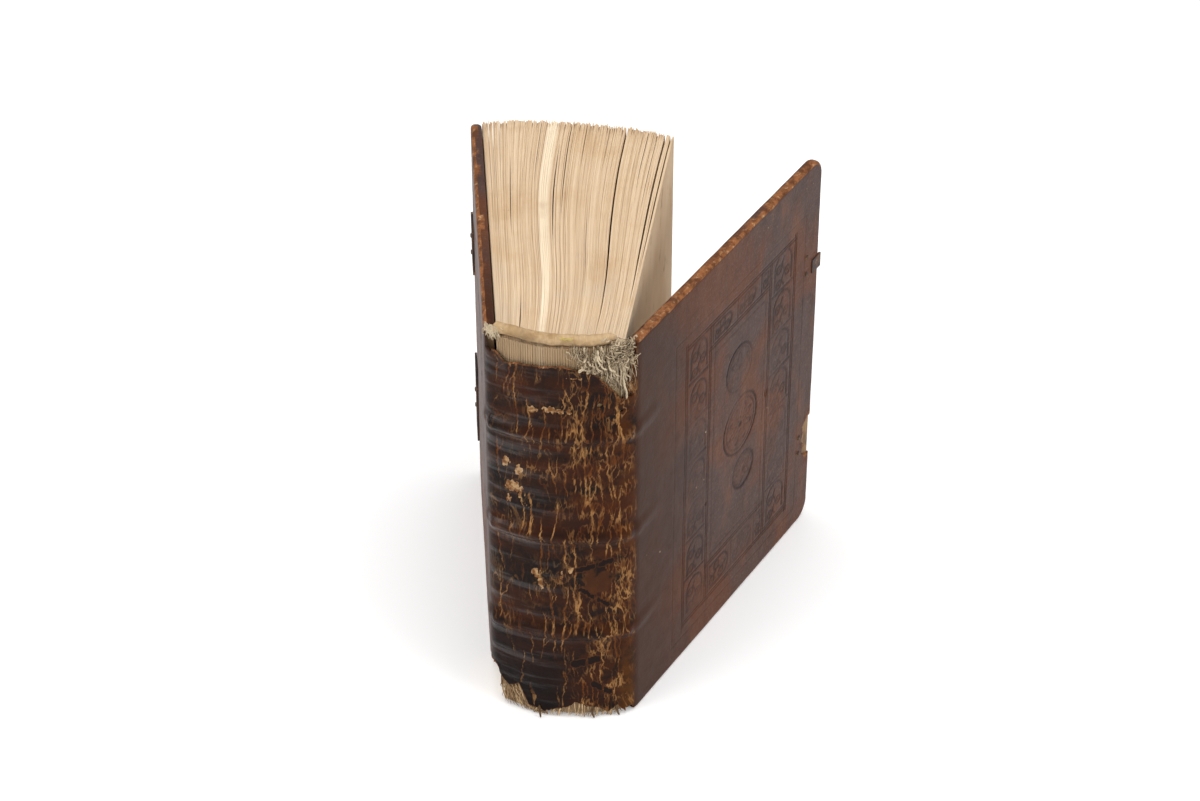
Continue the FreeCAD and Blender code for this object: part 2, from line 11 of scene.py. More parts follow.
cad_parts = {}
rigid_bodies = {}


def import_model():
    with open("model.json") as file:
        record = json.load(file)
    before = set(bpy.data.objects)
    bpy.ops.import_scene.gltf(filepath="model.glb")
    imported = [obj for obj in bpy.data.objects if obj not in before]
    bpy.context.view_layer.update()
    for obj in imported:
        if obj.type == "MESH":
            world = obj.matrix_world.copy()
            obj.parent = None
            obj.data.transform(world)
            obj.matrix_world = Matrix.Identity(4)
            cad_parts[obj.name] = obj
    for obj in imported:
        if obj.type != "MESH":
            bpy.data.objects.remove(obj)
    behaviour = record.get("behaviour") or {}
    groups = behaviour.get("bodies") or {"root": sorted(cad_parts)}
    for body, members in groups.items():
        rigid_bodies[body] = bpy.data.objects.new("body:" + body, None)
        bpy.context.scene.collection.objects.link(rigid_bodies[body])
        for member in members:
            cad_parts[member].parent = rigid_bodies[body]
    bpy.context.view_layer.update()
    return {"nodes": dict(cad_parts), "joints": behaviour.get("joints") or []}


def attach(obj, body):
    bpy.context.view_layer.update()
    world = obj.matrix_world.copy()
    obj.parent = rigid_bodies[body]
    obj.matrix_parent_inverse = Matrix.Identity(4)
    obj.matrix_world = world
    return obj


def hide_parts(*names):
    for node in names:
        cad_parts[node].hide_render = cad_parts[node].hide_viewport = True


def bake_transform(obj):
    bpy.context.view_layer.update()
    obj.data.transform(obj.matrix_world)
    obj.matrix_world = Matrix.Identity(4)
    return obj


# An old book in worn leather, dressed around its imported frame.
# Lengths here are millimetres; finishMesh turns them into metres.

for leftover in list(bpy.data.objects):
    bpy.data.objects.remove(leftover)
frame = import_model()
jointPlaces = {joint["name"]: Vector(joint["pos_m"]) * 1000 for joint in frame["joints"]}
print("frame loaded")

book = {
    "height": 200.0,
    "coverWidth": 163.0,
    "coverThickness": 4.9,
    "arris": 1.7,  # rounding of the covers' edges
    "cornerRound": 8.8,
    "jointSpan": 62.9,
    "spineBulge": 8.5,
    "spineSkew": math.radians(5.6),
    "fan": math.radians(6.0),
    "frontOpening": math.radians(22.3),
    "jointRun": 4.0,  # leather that bends on either side of a joint
    "bandLevels": (49.0, 102.0, 155.0),
}

spineRadius = (book["jointSpan"] ** 2 / 4 + book["spineBulge"] ** 2) / (2 * book["spineBulge"])
halfAngle = math.asin(book["jointSpan"] / 2 / spineRadius)
halfArc = spineRadius * halfAngle
skewCos = math.cos(book["spineSkew"])
skewSin = math.sin(book["spineSkew"])


def turnedBySkew(x, y):
    return Vector((x * skewCos + y * skewSin, y * skewCos - x * skewSin, 0))


frontJoint = jointPlaces["front_cover_hinge"]
backJoint = jointPlaces["back_cover_hinge"]
spineAxis = (frontJoint + backJoint) / 2 + turnedBySkew(0, spineRadius * math.cos(halfAngle))
frontAngle = math.pi / 2 - book["fan"] - book["frontOpening"]
backAngle = math.pi / 2 + book["fan"]
covers = {
    "front": {
        "side": 1,
        "joint": frontJoint,
        "along": Vector((math.cos(frontAngle), math.sin(frontAngle), 0)),
        "outward": Vector((math.sin(frontAngle), -math.cos(frontAngle), 0)),
    },
    "back": {
        "side": -1,
        "joint": backJoint,
        "along": Vector((math.cos(backAngle), math.sin(backAngle), 0)),
        "outward": Vector((-math.sin(backAngle), math.cos(backAngle), 0)),
    },
}

# Camera, light and floor

view = {
    "place": (28.53, -1134.19, 962.06),
    "tilt": 90 - 36.918,
    "turn": 2.3,
    "lens": 96.79,
}
cameraData = bpy.data.cameras.new("camera")
cameraData.sensor_width = 36
cameraData.lens = view["lens"]
camera = bpy.data.objects.new("camera", cameraData)
camera.location = Vector(view["place"]) / 1000
camera.rotation_euler = (math.radians(view["tilt"]), 0, math.radians(view["turn"]))
bpy.context.scene.collection.objects.link(camera)
bpy.context.scene.camera = camera
bpy.context.scene.view_settings.view_transform = "Standard"

softBoxes = [  # name, place, size, watts, all in metres
    ("overhead", (0.1, -0.2, 1.9), 1.8, 17),
    ("leftSide", (-1.5, -0.9, 1.1), 1.2, 14),
    ("rightSide", (1.6, -1.0, 1.2), 1.3, 15),
]


def addSoftBox(name, place, size, watts):
    data = bpy.data.lights.new(name, "AREA")
    data.shape = "DISK"
    data.size = size
    data.energy = watts
    lamp = bpy.data.objects.new(name, data)
    lamp.location = place
    lamp.rotation_euler = (Vector((0, 0, 0.1)) - Vector(place)).to_track_quat("-Z", "Y").to_euler()
    bpy.context.scene.collection.objects.link(lamp)


for softBox in softBoxes:
    addSoftBox(*softBox)


# Materials: a Wire is a socket that can be used in sums, a Finish makes nodes

class Wire:
    def __init__(self, finish, socket):
        self.finish = finish
        self.socket = socket

    def sum(self, operation, *others):
        values = {index: value for index, value in enumerate((self, *others))}
        return self.finish.add("ShaderNodeMath", {"operation": operation}, values)

    def __add__(self, other):
        return self.sum("ADD", other)

    def __radd__(self, other):
        return self.sum("ADD", other)

    def __mul__(self, other):
        return self.sum("MULTIPLY", other)

    def __rmul__(self, other):
        return self.sum("MULTIPLY", other)

    def __sub__(self, other):
        return self.sum("SUBTRACT", other)

    def __rsub__(self, other):
        return self.finish.add("ShaderNodeMath", {"operation": "SUBTRACT"}, {0: other, 1: self})

    def clamped(self):
        return self.finish.add("ShaderNodeClamp", {}, {0: self})

    def between(self, low, high):  # 0 below low, 1 above high, smooth between
        settings = {"interpolation_type": "SMOOTHSTEP"}
        return self.finish.add("ShaderNodeMapRange", settings, {0: self, 1: low, 2: high})


class Finish:
    def __init__(self, name):
        self.material = bpy.data.materials.new(name)
        self.material.use_nodes = True
        self.tree = self.material.node_tree
        self.tree.nodes.clear()

    def add(self, kind, settings, values, out=0):
        node = self.tree.nodes.new(kind)
        for key, value in settings.items():
            setattr(node, key, value)
        for key, value in values.items():
            if isinstance(value, Wire):
                self.tree.links.new(value.socket, node.inputs[key])
            else:
                node.inputs[key].default_value = value
        return Wire(self, node.outputs[out]) if node.outputs else node

    def mix(self, factor, first, second):
        settings = {"data_type": "RGBA", "clamp_factor": True}
        return self.add("ShaderNodeMix", settings, {0: factor, 6: first, 7: second}, 2)

    def spot(self):  # a place on the piece, in metres
        return self.add("ShaderNodeTexCoord", {}, {}, "Object")

    def coats(self, colour, *layers):  # tones laid over each other, each where its mask is high
        for mask, over in layers:
            colour = self.mix(mask, colour, over)
        return colour

    def attribute(self, name, out="Vector"):
        return self.add("ShaderNodeAttribute", {"attribute_name": name}, {}, out)

    def parts(self, vector):
        split = self.add("ShaderNodeSeparateXYZ", {}, {0: vector}).socket.node
        return [Wire(self, split.outputs[index]) for index in range(3)]

    def stretched(self, vector, scale, offset=(0, 0, 0), turn=(0, 0, 0)):
        values = {"Vector": vector, "Scale": scale, "Location": offset, "Rotation": turn}
        return self.add("ShaderNodeMapping", {}, values)

    def noise(self, vector, scale, detail=3, rough=0.5, distortion=0):
        values = {"Vector": vector, "Scale": scale, "Detail": detail,
                  "Roughness": rough, "Distortion": distortion}
        return self.add("ShaderNodeTexNoise", {}, values)

    def cells(self, vector, scale):
        values = {"Vector": vector, "Scale": scale}
        return self.add("ShaderNodeTexVoronoi", {"feature": "F1"}, values)

    def vein(self, vector, scale, width):  # 1 along thin winding lines
        middle = self.noise(vector, scale, 4, 0.55, 0.3) - 0.5
        return 1 - middle.sum("ABSOLUTE").between(width * 0.3, width)

    def bump(self, height, strength, distance):
        values = {"Height": height, "Strength": strength, "Distance": distance}
        return self.add("ShaderNodeBump", {}, values)

    def surface(self, colour, roughness, normal, **others):
        values = {"Base Color": colour, "Roughness": roughness, "Normal": normal}
        values.update({key.replace("_", " "): value for key, value in others.items()})
        shader = self.add("ShaderNodeBsdfPrincipled", {}, values)
        self.add("ShaderNodeOutputMaterial", {}, {"Surface": shader})
        return self.material


def tone(red, green, blue):  # a screen colour, 0 to 255, as the light values that sockets take
    values = [channel / 255 for channel in (red, green, blue)]
    return tuple(v / 12.92 if v <= 0.04045 else ((v + 0.055) / 1.055) ** 2.4 for v in values) + (1.0,)


surroundings = {
    "floorReach": 6.0,  # metres
    "floorTone": tone(243, 243, 243),
    "floorGlow": 0.16,  # lifts the floor to the photo's white, in what the camera sees
    "ambient": 0.62,
    "backdrop": 1.0,
}


def makeFloor():
    form = bmesh.new()
    bmesh.ops.create_grid(form, x_segments=1, y_segments=1, size=surroundings["floorReach"])
    mesh = bpy.data.meshes.new("floor")
    form.to_mesh(mesh)
    form.free()
    floor = bpy.data.objects.new("floor", mesh)
    bpy.context.scene.collection.objects.link(floor)
    finish = Finish("floor")
    seen, glossy, through = [finish.add("ShaderNodeLightPath", {}, {}, "Is %s Ray" % kind)
                             for kind in ("Camera", "Glossy", "Transmission")]
    paper = finish.add("ShaderNodeBsdfDiffuse", {}, {"Color": surroundings["floorTone"]})
    strength = (seen + glossy + through) * surroundings["floorGlow"]
    glow = finish.add("ShaderNodeEmission", {}, {"Color": (1, 1, 1, 1), "Strength": strength})
    both = finish.add("ShaderNodeAddShader", {}, {0: paper, 1: glow})
    finish.add("ShaderNodeOutputMaterial", {}, {"Surface": both})
    floor.data.materials.append(finish.material)


def makeWorld():
    world = bpy.data.worlds.new("world")
    world.use_nodes = True
    tree = world.node_tree
    tree.nodes.clear()
    paths = tree.nodes.new("ShaderNodeLightPath")
    chooser = tree.nodes.new("ShaderNodeMixShader")
    output = tree.nodes.new("ShaderNodeOutputWorld")
    tree.links.new(paths.outputs["Is Camera Ray"], chooser.inputs[0])
    for place, kind in ((1, "ambient"), (2, "backdrop")):
        background = tree.nodes.new("ShaderNodeBackground")
        background.inputs["Color"].default_value = (1, 1, 1, 1)
        background.inputs["Strength"].default_value = surroundings[kind]
        tree.links.new(background.outputs[0], chooser.inputs[place])
    tree.links.new(chooser.outputs[0], output.inputs["Surface"])
    bpy.context.scene.world = world


makeFloor()
makeWorld()
print("camera, light and floor made")


# Shape helpers

def smooth(value, low, high):
    share = min(max((value - low) / (high - low), 0.0), 1.0)
    return share * share * (3 - 2 * share)


def wobble(x, y, z=0.0):
    return noise.noise(Vector((x, y, z)))


def lineAt(points, x):  # height of a broken line at x
    places = [point[0] for point in points]
    if x <= places[0]:
        return points[0][1]
    if x >= places[-1]:
        return points[-1][1]
    index = bisect.bisect_right(places, x)
    (x0, y0), (x1, y1) = points[index - 1], points[index]
    return y0 + (y1 - y0) * (x - x0) / (x1 - x0)


def finishMesh(name, form, material, body=None, replaced=()):
    bmesh.ops.scale(form, vec=(0.001, 0.001, 0.001), verts=form.verts)
    mesh = bpy.data.meshes.new(name)
    form.to_mesh(mesh)
    form.free()
    mesh.shade_smooth()
    piece = bpy.data.objects.new(name, mesh)
    bpy.context.scene.collection.objects.link(piece)
    mesh.materials.append(material)
    if replaced:
        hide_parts(*replaced)
    if body:
        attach(piece, body)
    return piece


def gridOf(form, columns, rows, place):
    made = bmesh.ops.create_grid(form, x_segments=len(columns) - 1, y_segments=len(rows) - 1, size=1)
    for vert in made["verts"]:
        column = round((vert.co.x + 1) / 2 * (len(columns) - 1))
        row = round((vert.co.y + 1) / 2 * (len(rows) - 1))
        place(vert, columns[column], rows[row])
    return made["verts"]


def spacedOut(start, stop, step, extra=()):  # even steps, with the extra places put in exactly
    count = max(1, round((stop - start) / step))
    even = [start + (stop - start) * index / count for index in range(count + 1)]
    exact = [value for value in extra if start < value < stop]
    kept = [value for value in even if all(abs(value - other) > step * 0.3 for other in exact)]
    return sorted(set([even[0], even[-1]] + kept + exact))


# Leather skins: one surface from the back cover round the spine to the front cover.
# A place on it is (run, level): run is measured over the leather from the middle of the spine.

headTear = [(-34.6, 193), (-27.0, 192), (-22.6, 188), (-15.7, 189.5), (-6.9, 189.7), (1.9, 190.9),
            (7.9, 189), (16.0, 186.3), (19.2, 182.4), (24.5, 176), (27.0, 172.5), (28.3, 178),
            (29.2, 185), (30.2, 190), (34.6, 194)]
tailTear = [(-34.6, 22), (-29.9, 20), (-27.7, 16), (-23.9, 12.2), (-18.9, 15), (-14.2, 4.5),
            (-6.9, 2.9), (-1.9, 5), (3.1, 6.5), (6.9, 9.5), (12.6, 7), (17.3, 5.8), (21.0, 2.8),
            (25.2, 6), (28.9, 1.5), (34.6, 2.5)]
lostCorner = [(0, 21.8), (7.1, 18.8), (14.8, 15.5), (18.3, 9.4), (25.4, 5.6), (29.5, 0)]

skin = {  # rows past the head and tail levels are drawn in to the torn edges
    "thickness": 0.8,
    "tailRows": 35,
    "headRows": 165,
    "edgeSteps": 13,
    "bandHeight": 2.4,
    "bandReach": 5.6,
    "seam": halfArc - book["jointRun"],  # where spine and cover pieces meet
    "torn": 1.0,  # past the joint, where the boards' own edge begins
}


def spinePoint(run):
    angle = run / spineRadius
    normal = turnedBySkew(math.sin(angle), -math.cos(angle))
    return spineAxis + normal * spineRadius, normal


def planPoint(side, past):  # past the joint along the leather; negative is on the spine
    cover = covers["front" if side > 0 else "back"]
    run = book["jointRun"]
    if past >= run:
        return cover["joint"] + cover["along"] * past, cover["outward"]
    if past <= -run:
        return spinePoint(side * (halfArc + past))
    share = (past + run) / (2 * run)
    start = spinePoint(side * (halfArc - run))[0]
    stop = cover["joint"] + cover["along"] * run
    place = start * (1 - share) ** 2 + cover["joint"] * 2 * share * (1 - share) + stop * share ** 2
    heading = (cover["joint"] - start) * (1 - share) + (stop - cover["joint"]) * share
    heading.normalize()
    return place, Vector((heading.y, -heading.x, 0)) * side


def tearLevel(points, run, seed):
    ragged = 0.55 * wobble(run * 0.9, seed) + 0.35 * wobble(run * 2.6, seed + 5)
    return lineAt(points, run) + ragged


def headEdge(run):
    return tearLevel(headTear, run, 12)


def tailEdge(run):
    return tearLevel(tailTear, run, 31)


def headRow(row, high):
    share = (high - skin["headRows"]) / (book["height"] - skin["headRows"])
    return skin["headRows"] + (min(row, book["height"]) - skin["headRows"]) * share


def tailRow(row, low):
    return low + (skin["tailRows"] - low) * max(row, 0) / skin["tailRows"]


def tearGap(run, level):  # room between a place on the spine and the nearer torn edge
    return min(headEdge(run) - level, level - tailEdge(run))


def bandRise(level):
    rise = 0.0
    for band in book["bandLevels"]:
        gap = abs(level - band)
        if gap < skin["bandReach"]:
            crest = 0.5 + 0.5 * math.cos(math.pi * gap / skin["bandReach"])
            groove = 0.22 * math.exp(-(gap / 0.8) ** 2)  # between the two cords
            rise += skin["bandHeight"] * crest - groove
    return rise


strands = {  # worn cracks that run up the spine
    "places": (-27.0, -22.3, -17.2, -12.6, -7.4, -2.6, 2.2, 6.8, 11.0, 14.2, 17.4, 20.6, 23.4, 26.2),
    "wander": 3.4,
    "edge": 0.3,
}


def crackAt(run, level):
    closeness = smooth(run, -20, 26)
    most = 0.0
    for index, middle in enumerate(strands["places"]):
        if abs(run - middle) > 5.5:
            continue
        path = middle + strands["wander"] * wobble(level * 0.045, index * 7.3)
        path += wobble(level * 0.27, index * 3.1)
        present = smooth(wobble(level * 0.04, index * 5.7, 40) + 0.2 * closeness, -0.04, 0.2)
        half = 0.05 + 0.42 * max(wobble(level * 0.13, index * 2.9, 4), 0)
        path += 0.35 * wobble(level * 0.9, index * 1.7)
        fork = path + 3.2 * smooth(wobble(level * 0.05, index * 4.3, 70), 0.02, 0.42)
        for line, strength in ((path, 1.0), (fork, 0.8)):
            away = smooth(abs(run - line), half, half + strands["edge"])
            most = max(most, strength * present * (1 - away))
    return most


scuffs = [  # run, level, half width, half height: pale patches where the surface has come off
    (-10.6, 167.4, 2.2, 1.2), (-1.4, 168.6, 4.6, 1.3), (4.6, 168.0, 1.2, 1.2), (7.3, 185.0, 3.5, 0.5),
    (-23.4, 137, 1.6, 2.6), (-17.5, 134, 1.4, 2.8), (-20.2, 125, 3.4, 2.6), (-16.4, 121, 1.0, 3.0),
    (-22.0, 118, 1.0, 2.0), (-10.3, 80.8, 1.3, 2.4), (-8.0, 75.6, 1.2, 3.2), (5.0, 84.0, 0.8, 1.5),
    (1.2, 81.0, 0.7, 2.4),
]

remnants = {  # dark bars on the worn spine, and smooth patches beside them
    "bars": [(8.5, 84.5, 22.5, 88.5, 1.5), (9.5, 73.5, 20.5, 64.5, 1.5), (6.5, 31.5, 16.0, 34.0, 2.2),
             (15.0, 19.5, 21.5, 14.5, 1.9)],
    "patches": [(15.8, 77.5, 7.6, 7.0)],
}


def remnantAt(run, level):  # 1 on a dark bar, 0.5 on a smooth patch
    x = run + 0.6 * wobble(run * 0.7, level * 0.7, 14)
    y = level + 0.6 * wobble(run * 0.7, level * 0.7, 15)
    most = 0.0
    for x0, y0, x1, y1, half in remnants["bars"]:
        if not min(x0, x1) - 2 < x < max(x0, x1) + 2:
            continue
        share = min(max((x - x0) / (x1 - x0), 0.0), 1.0)
        away = math.hypot(x - x0 - (x1 - x0) * share, y - y0 - (y1 - y0) * share)
        gap = smooth(abs(share - 0.55), 0.02, 0.07)
        most = max(most, gap * (1 - smooth(away, half * 0.8, half * 1.2)))
    for x0, y0, halfWidth, halfHeight in remnants["patches"]:
        ragged = 0.55 * wobble(run * 0.28, level * 0.28, 16) + 0.2 * wobble(run * 0.9, level * 0.7, 17)
        reach = math.hypot((x - x0) / halfWidth, (y - y0) / halfHeight) + ragged
        most = max(most, 0.5 * (1 - smooth(reach, 0.55, 1.15)))
    return most


def scuffAt(run, level):
    most = 0.0
    for place, height, halfWidth, halfHeight in scuffs:
        across = (run - place + 1.8 * wobble(run * 0.8, level * 0.5, 2)) / halfWidth
        up = (level - height + 1.8 * wobble(run * 0.8, level * 0.6, 7)) / halfHeight
        reach = math.hypot(across, up)
        if reach < 1.35:
            most = max(most, 1 - smooth(reach, 0.75, 1.3))
    return most


def markVert(vert, layers, run, level, zone, crack, wear, tooled, scuff):
    vert[layers[0]] = Vector((run / 1000, level / 1000, zone))
    vert[layers[1]] = Vector((crack, wear, tooled, scuff))


def vertLayers(form, vectorName, colourName):
    return form.verts.layers.float_vector.new(vectorName), form.verts.layers.float_color.new(colourName)


def addLips(form, depth, inward, isLip):
    rim = [edge for edge in form.edges if edge.is_boundary and isLip(edge)]
    made = bmesh.ops.extrude_edge_only(form, edges=rim)
    for item in made["geom"]:
        if isinstance(item, bmesh.types.BMVert):
            item.co += inward(item.co) * depth


def spineLevel(run, level):  # rows near the ends follow the torn edges
    if level > skin["headRows"]:
        return headRow(level, headEdge(run))
    if level < skin["tailRows"]:
        return tailRow(level, tailEdge(run))
    return level


def spineRelief(run, level, crack, scuff):
    lift = 0.5 * (1 - smooth(tearGap(run, level), 0, 4)) * (0.6 + 0.8 * wobble(run * 0.25, 3))
    broad = 0.30 * wobble(run * 0.07, level * 0.05, 5) + 0.12 * wobble(run * 0.3, level * 0.25, 6)
    fine = 0.05 * wobble(run * 1.3, level * 1.1, 8)
    return bandRise(level) + lift + broad + fine - 0.30 * crack - 0.25 * scuff


wormHoles = [(17.4, 171.0, 1.1), (26.5, 167.0, 0.7)]  # run, level, radius


def makeSpineSkin(material):
    form = bmesh.new()
    layers = vertLayers(form, "place", "marks")
    columns = spacedOut(-skin["seam"], skin["seam"], 0.36)
    rows = spacedOut(0, book["height"], 0.82, [0.5, 1.0, 199.0, 199.5])

    def place(vert, run, row):
        level = spineLevel(run, row)
        remnant = remnantAt(run, level)
        crack = crackAt(run, level) * (1 - min(remnant * 2, 1))
        scuff = scuffAt(run, level)
        point, normal = spinePoint(run)
        wear = 0.55 * (1 - smooth(tearGap(run, level), 0.0, 1.2))
        vert.co = point + normal * spineRelief(run, level, crack, scuff) + Vector((0, 0, level))
        markVert(vert, layers, run, level, 1.0, crack, wear, remnant, scuff)

    gridOf(form, columns, rows, place)
    holes = [spinePoint(run)[0] + Vector((0, 0, level)) for run, level, radius in wormHoles]
    lost = [face for face in form.faces for hole, (run, level, radius) in zip(holes, wormHoles)
            if (face.calc_center_median() - hole).length < radius]
    bmesh.ops.delete(form, geom=list(set(lost)), context="FACES")
    seams = [spinePoint(side * skin["seam"])[0] for side in (-1, 1)]

    def isLip(edge):  # every edge but the two seams to the covers
        first, second = edge.verts
        middle = ((first.co + second.co) / 2).to_2d()
        level = abs(first.co.z - second.co.z) < 0.3
        return level or all((middle - seam.to_2d()).length > 0.8 for seam in seams)

    def inward(point):
        flat = spineAxis - point
        return Vector((flat.x, flat.y, 0)).normalized()

    addLips(form, skin["thickness"], inward, isLip)
    finishMesh("spine_skin", form, material, "block", ["spine_leather"])


# Blind tooling of the covers: lines, rolls of ornament and round stamps, all pressed into the leather

tooling = {
    "uprights": [(41.6, 16, 172), (43.0, 16, 172), (62.0, 19, 169), (63.4, 19, 169),
                 (116.0, 19, 169), (117.4, 19, 169), (138.8, 16, 172), (140.2, 16, 172)],
    "fineUprights": [(33.0, 12, 176), (66.6, 30, 160), (112.6, 30, 160), (148.5, 12, 176)],
    "levels": [(17.6, 43, 140), (19.0, 43, 140), (37.0, 62, 116), (38.4, 62, 116),
               (156.6, 62, 116), (158.0, 62, 116), (169.0, 43, 140), (170.4, 43, 140)],
    "fineLevels": [(11.5, 33, 148), (42.0, 66, 113), (153.0, 66, 113), (176.5, 33, 148)],
    "lineHalf": 0.5,
    "lineDepth": 0.26,
    "stamps": [(89.5, 131.0, 11.5, 6), (92.0, 98.7, 15.0, 8), (96.0, 70.6, 9.3, 5)],
    "panel": 21.5,
    "ornamentDepth": 0.2,
    "rolls": [  # limits along and in level, middle line, start, half width, upright or not
        (44, 61.5, 19.5, 168.5, 52.7, 19.5, 8.6, True),
        (118, 138.3, 19.5, 168.5, 128.1, 19.5, 9.8, True),
        (64, 115.5, 19.8, 36.5, 28.0, 64.0, 8.0, False),
        (64, 115.5, 158.8, 168.6, 163.6, 64.0, 4.6, False),
    ],
}


def vineAt(across, along, half):
    # one panel of a roll: an arch, a stem with scrolling leaves, and a rule between panels
    step = tooling["panel"]
    up = along % step
    arch = abs(math.hypot(across, max(up - step * 0.62, 0)) - half * 0.78)
    frameLine = 1 - smooth(arch, 0.35, 0.8) if up > step * 0.12 else 0
    rule = 1 - smooth(abs(up - 1.1), 0.3, 0.7)
    stem = 1 - smooth(abs(across - 1.1 * math.sin(up * 0.75)), 0.3, 0.7)
    stem *= smooth(up, 2.0, 3.0) * (1 - smooth(up, step * 0.8, step * 0.86))
    curl = 0.0
    for index, lift in enumerate((5.0, 9.0, 13.0)):
        centre = (1 if index % 2 else -1) * half * 0.40
        ring = abs(math.hypot(across - centre, up - lift) - 2.1)
        curl = max(curl, 1 - smooth(ring, 0.3, 0.75))
        curl = max(curl, 1 - smooth(math.hypot(across - centre, up - lift), 0.4, 0.9))
    return max(frameLine, rule, stem, curl)


def stampAt(along, level):
    most = 0.0
    for x, z, radius, petals in tooling["stamps"]:
        reach = math.hypot(along - x, level - z)
        if reach > radius + 1:
            continue
        most = max(most, 1.5 * (1 - smooth(abs(reach - radius), 0.3, 0.75)))
        most = max(most, 0.8 * (1 - smooth(abs(reach - radius * 0.84), 0.25, 0.6)))
        turn = math.atan2(level - z, along - x)
        petal = abs(math.sin(petals * turn / 2)) * radius * 0.68
        most = max(most, 0.9 * (1 - smooth(abs(reach - petal), 0.3, 0.8)) * smooth(reach, 0.8, 2.0))
        most = max(most, 1 - smooth(reach, 1.0, 1.6))
    return most


def ornamentAt(along, level):
    for left, right, low, high, middle, start, half, upright in tooling["rolls"]:
        if left < along < right and low < level < high:
            across, up = (along, level) if upright else (level, along)
            return vineAt(across - middle, up - start, half)
    return stampAt(along, level)


def toolingAt(along, level):  # how far lines are pressed in, and ornament
    half = tooling["lineHalf"]
    pressed = 0.0
    for key, weight in (("uprights", 1.0), ("fineUprights", 0.45)):
        for place, low, high in tooling[key]:
            if low <= level <= high:
                pressed = max(pressed, weight * (1 - abs(along - place) / half))
    for key, weight in (("levels", 1.0), ("fineLevels", 0.45)):
        for place, low, high in tooling[key]:
            if low <= along <= high:
                pressed = max(pressed, weight * (1 - abs(level - place) / half))
    worn = 0.35 + 0.65 * smooth(wobble(along * 0.035, level * 0.03, 21) + 0.35, 0, 0.6)
    return max(0.0, pressed) * (0.5 + 0.5 * worn), ornamentAt(along, level) * worn


# past the joint, level and radius of the small holes in the front joint
jointHoles = [(-2.4, 174.0, 1.0), (-1.0, 180.5, 0.8), (-2.6, 186.0, 0.7), (-0.6, 190.5, 0.9)]

# level and reach of the leather round the torn seat of the lower clasp
tornSeat = [(35, 164), (37, 158), (40, 154.4), (44, 156.5), (47, 153.6), (51, 155.4), (55, 154.2),
            (58, 158.5), (59.5, 164)]

# leather that runs over an edge and 2 mm on inside
edgeRun = math.pi * book["arris"] + book["coverThickness"] - 2 * book["arris"] + 2.0


def insideTornSeat(along, level):
    if not tornSeat[0][0] < level < tornSeat[-1][0]:
        return False
    return along > lineAt(tornSeat, level) + 0.6 * wobble(level * 0.8, 3.3)


def edgeProfile(path):  # reach past the flat face, depth and tilt, along a path over a cover's edge
    arris = book["arris"]
    quarter = math.pi / 2 * arris
    flat = book["coverThickness"] - 2 * arris
    if path <= 0:
        return path, 0.0, 0.0
    if path < quarter:
        tilt = path / arris
        return arris * math.sin(tilt), arris * (1 - math.cos(tilt)), tilt
    if path < quarter + flat:
        return arris, arris + path - quarter, math.pi / 2
    if path < 2 * quarter + flat:
        tilt = math.pi / 2 + (path - quarter - flat) / arris
        return arris * math.sin(tilt), arris + flat - arris * math.cos(tilt), tilt
    return -(path - 2 * quarter - flat), book["coverThickness"], math.pi


def coverPoint(side, along, level):
    # along and level are path lengths; past the flat face they run over the edge
    cover = covers["front" if side > 0 else "back"]
    width = book["coverWidth"]
    arris = book["arris"]
    rounded = book["cornerRound"]
    mirrored = level < book["height"] / 2
    up = book["height"] - level if mirrored else level
    x = along - (width - rounded)
    z = up - (book["height"] - rounded)
    if x > 0 and z > 0:
        path = max(x, z) - (rounded - arris)
        turn = math.pi / 4 * z / x if x >= z else math.pi / 2 - math.pi / 4 * x / z
        reach, depth, tilt = edgeProfile(path)
        radial = rounded - arris + reach
        x = radial * math.cos(turn)
        z = radial * math.sin(turn)
        heading = (math.cos(turn), math.sin(turn))
    elif x > z:
        reach, depth, tilt = edgeProfile(x - (rounded - arris))
        x = rounded - arris + reach
        heading = (1, 0)
    else:
        reach, depth, tilt = edgeProfile(z - (rounded - arris))
        z = rounded - arris + reach
        heading = (0, 1)
    x += width - rounded
    z += book["height"] - rounded
    if mirrored:
        z = book["height"] - z
        heading = (heading[0], -heading[1])
    base, outward = planPoint(side, x)
    place = base - outward * depth + Vector((0, 0, z))
    sideways = cover["along"] * heading[0] + Vector((0, 0, heading[1]))
    normal = outward * math.cos(tilt) + sideways * math.sin(tilt)
    return place, normal, x, z, tilt


def coverRelief(which, x, z, pressed, ornament):
    broad = 0.22 * wobble(x * 0.02, z * 0.02, 11) + 0.06 * wobble(x * 0.15, z * 0.12, 12)
    fine = 0.03 * wobble(x * 1.1, z * 1.1, 13)
    rise = 0.0
    for band in book["bandLevels"]:
        gap = abs(z - band) / skin["bandReach"]
        if gap < 1 and x < 26:
            rise += 0.8 * (0.5 + 0.5 * math.cos(math.pi * gap)) * (1 - smooth(x, 2, 26))
    dents = 0.0
    if which == "front":
        dents = -0.5 * (1 - smooth(math.hypot((x - 116) / 2.2, (z - 100) / 3.2), 0.3, 1))
        dents -= 0.6 * (1 - smooth(math.hypot(x - 62, z - 74), 0.4, 1.1))
    dents -= tooling["lineDepth"] * pressed + tooling["ornamentDepth"] * ornament
    return broad + fine + rise + dents


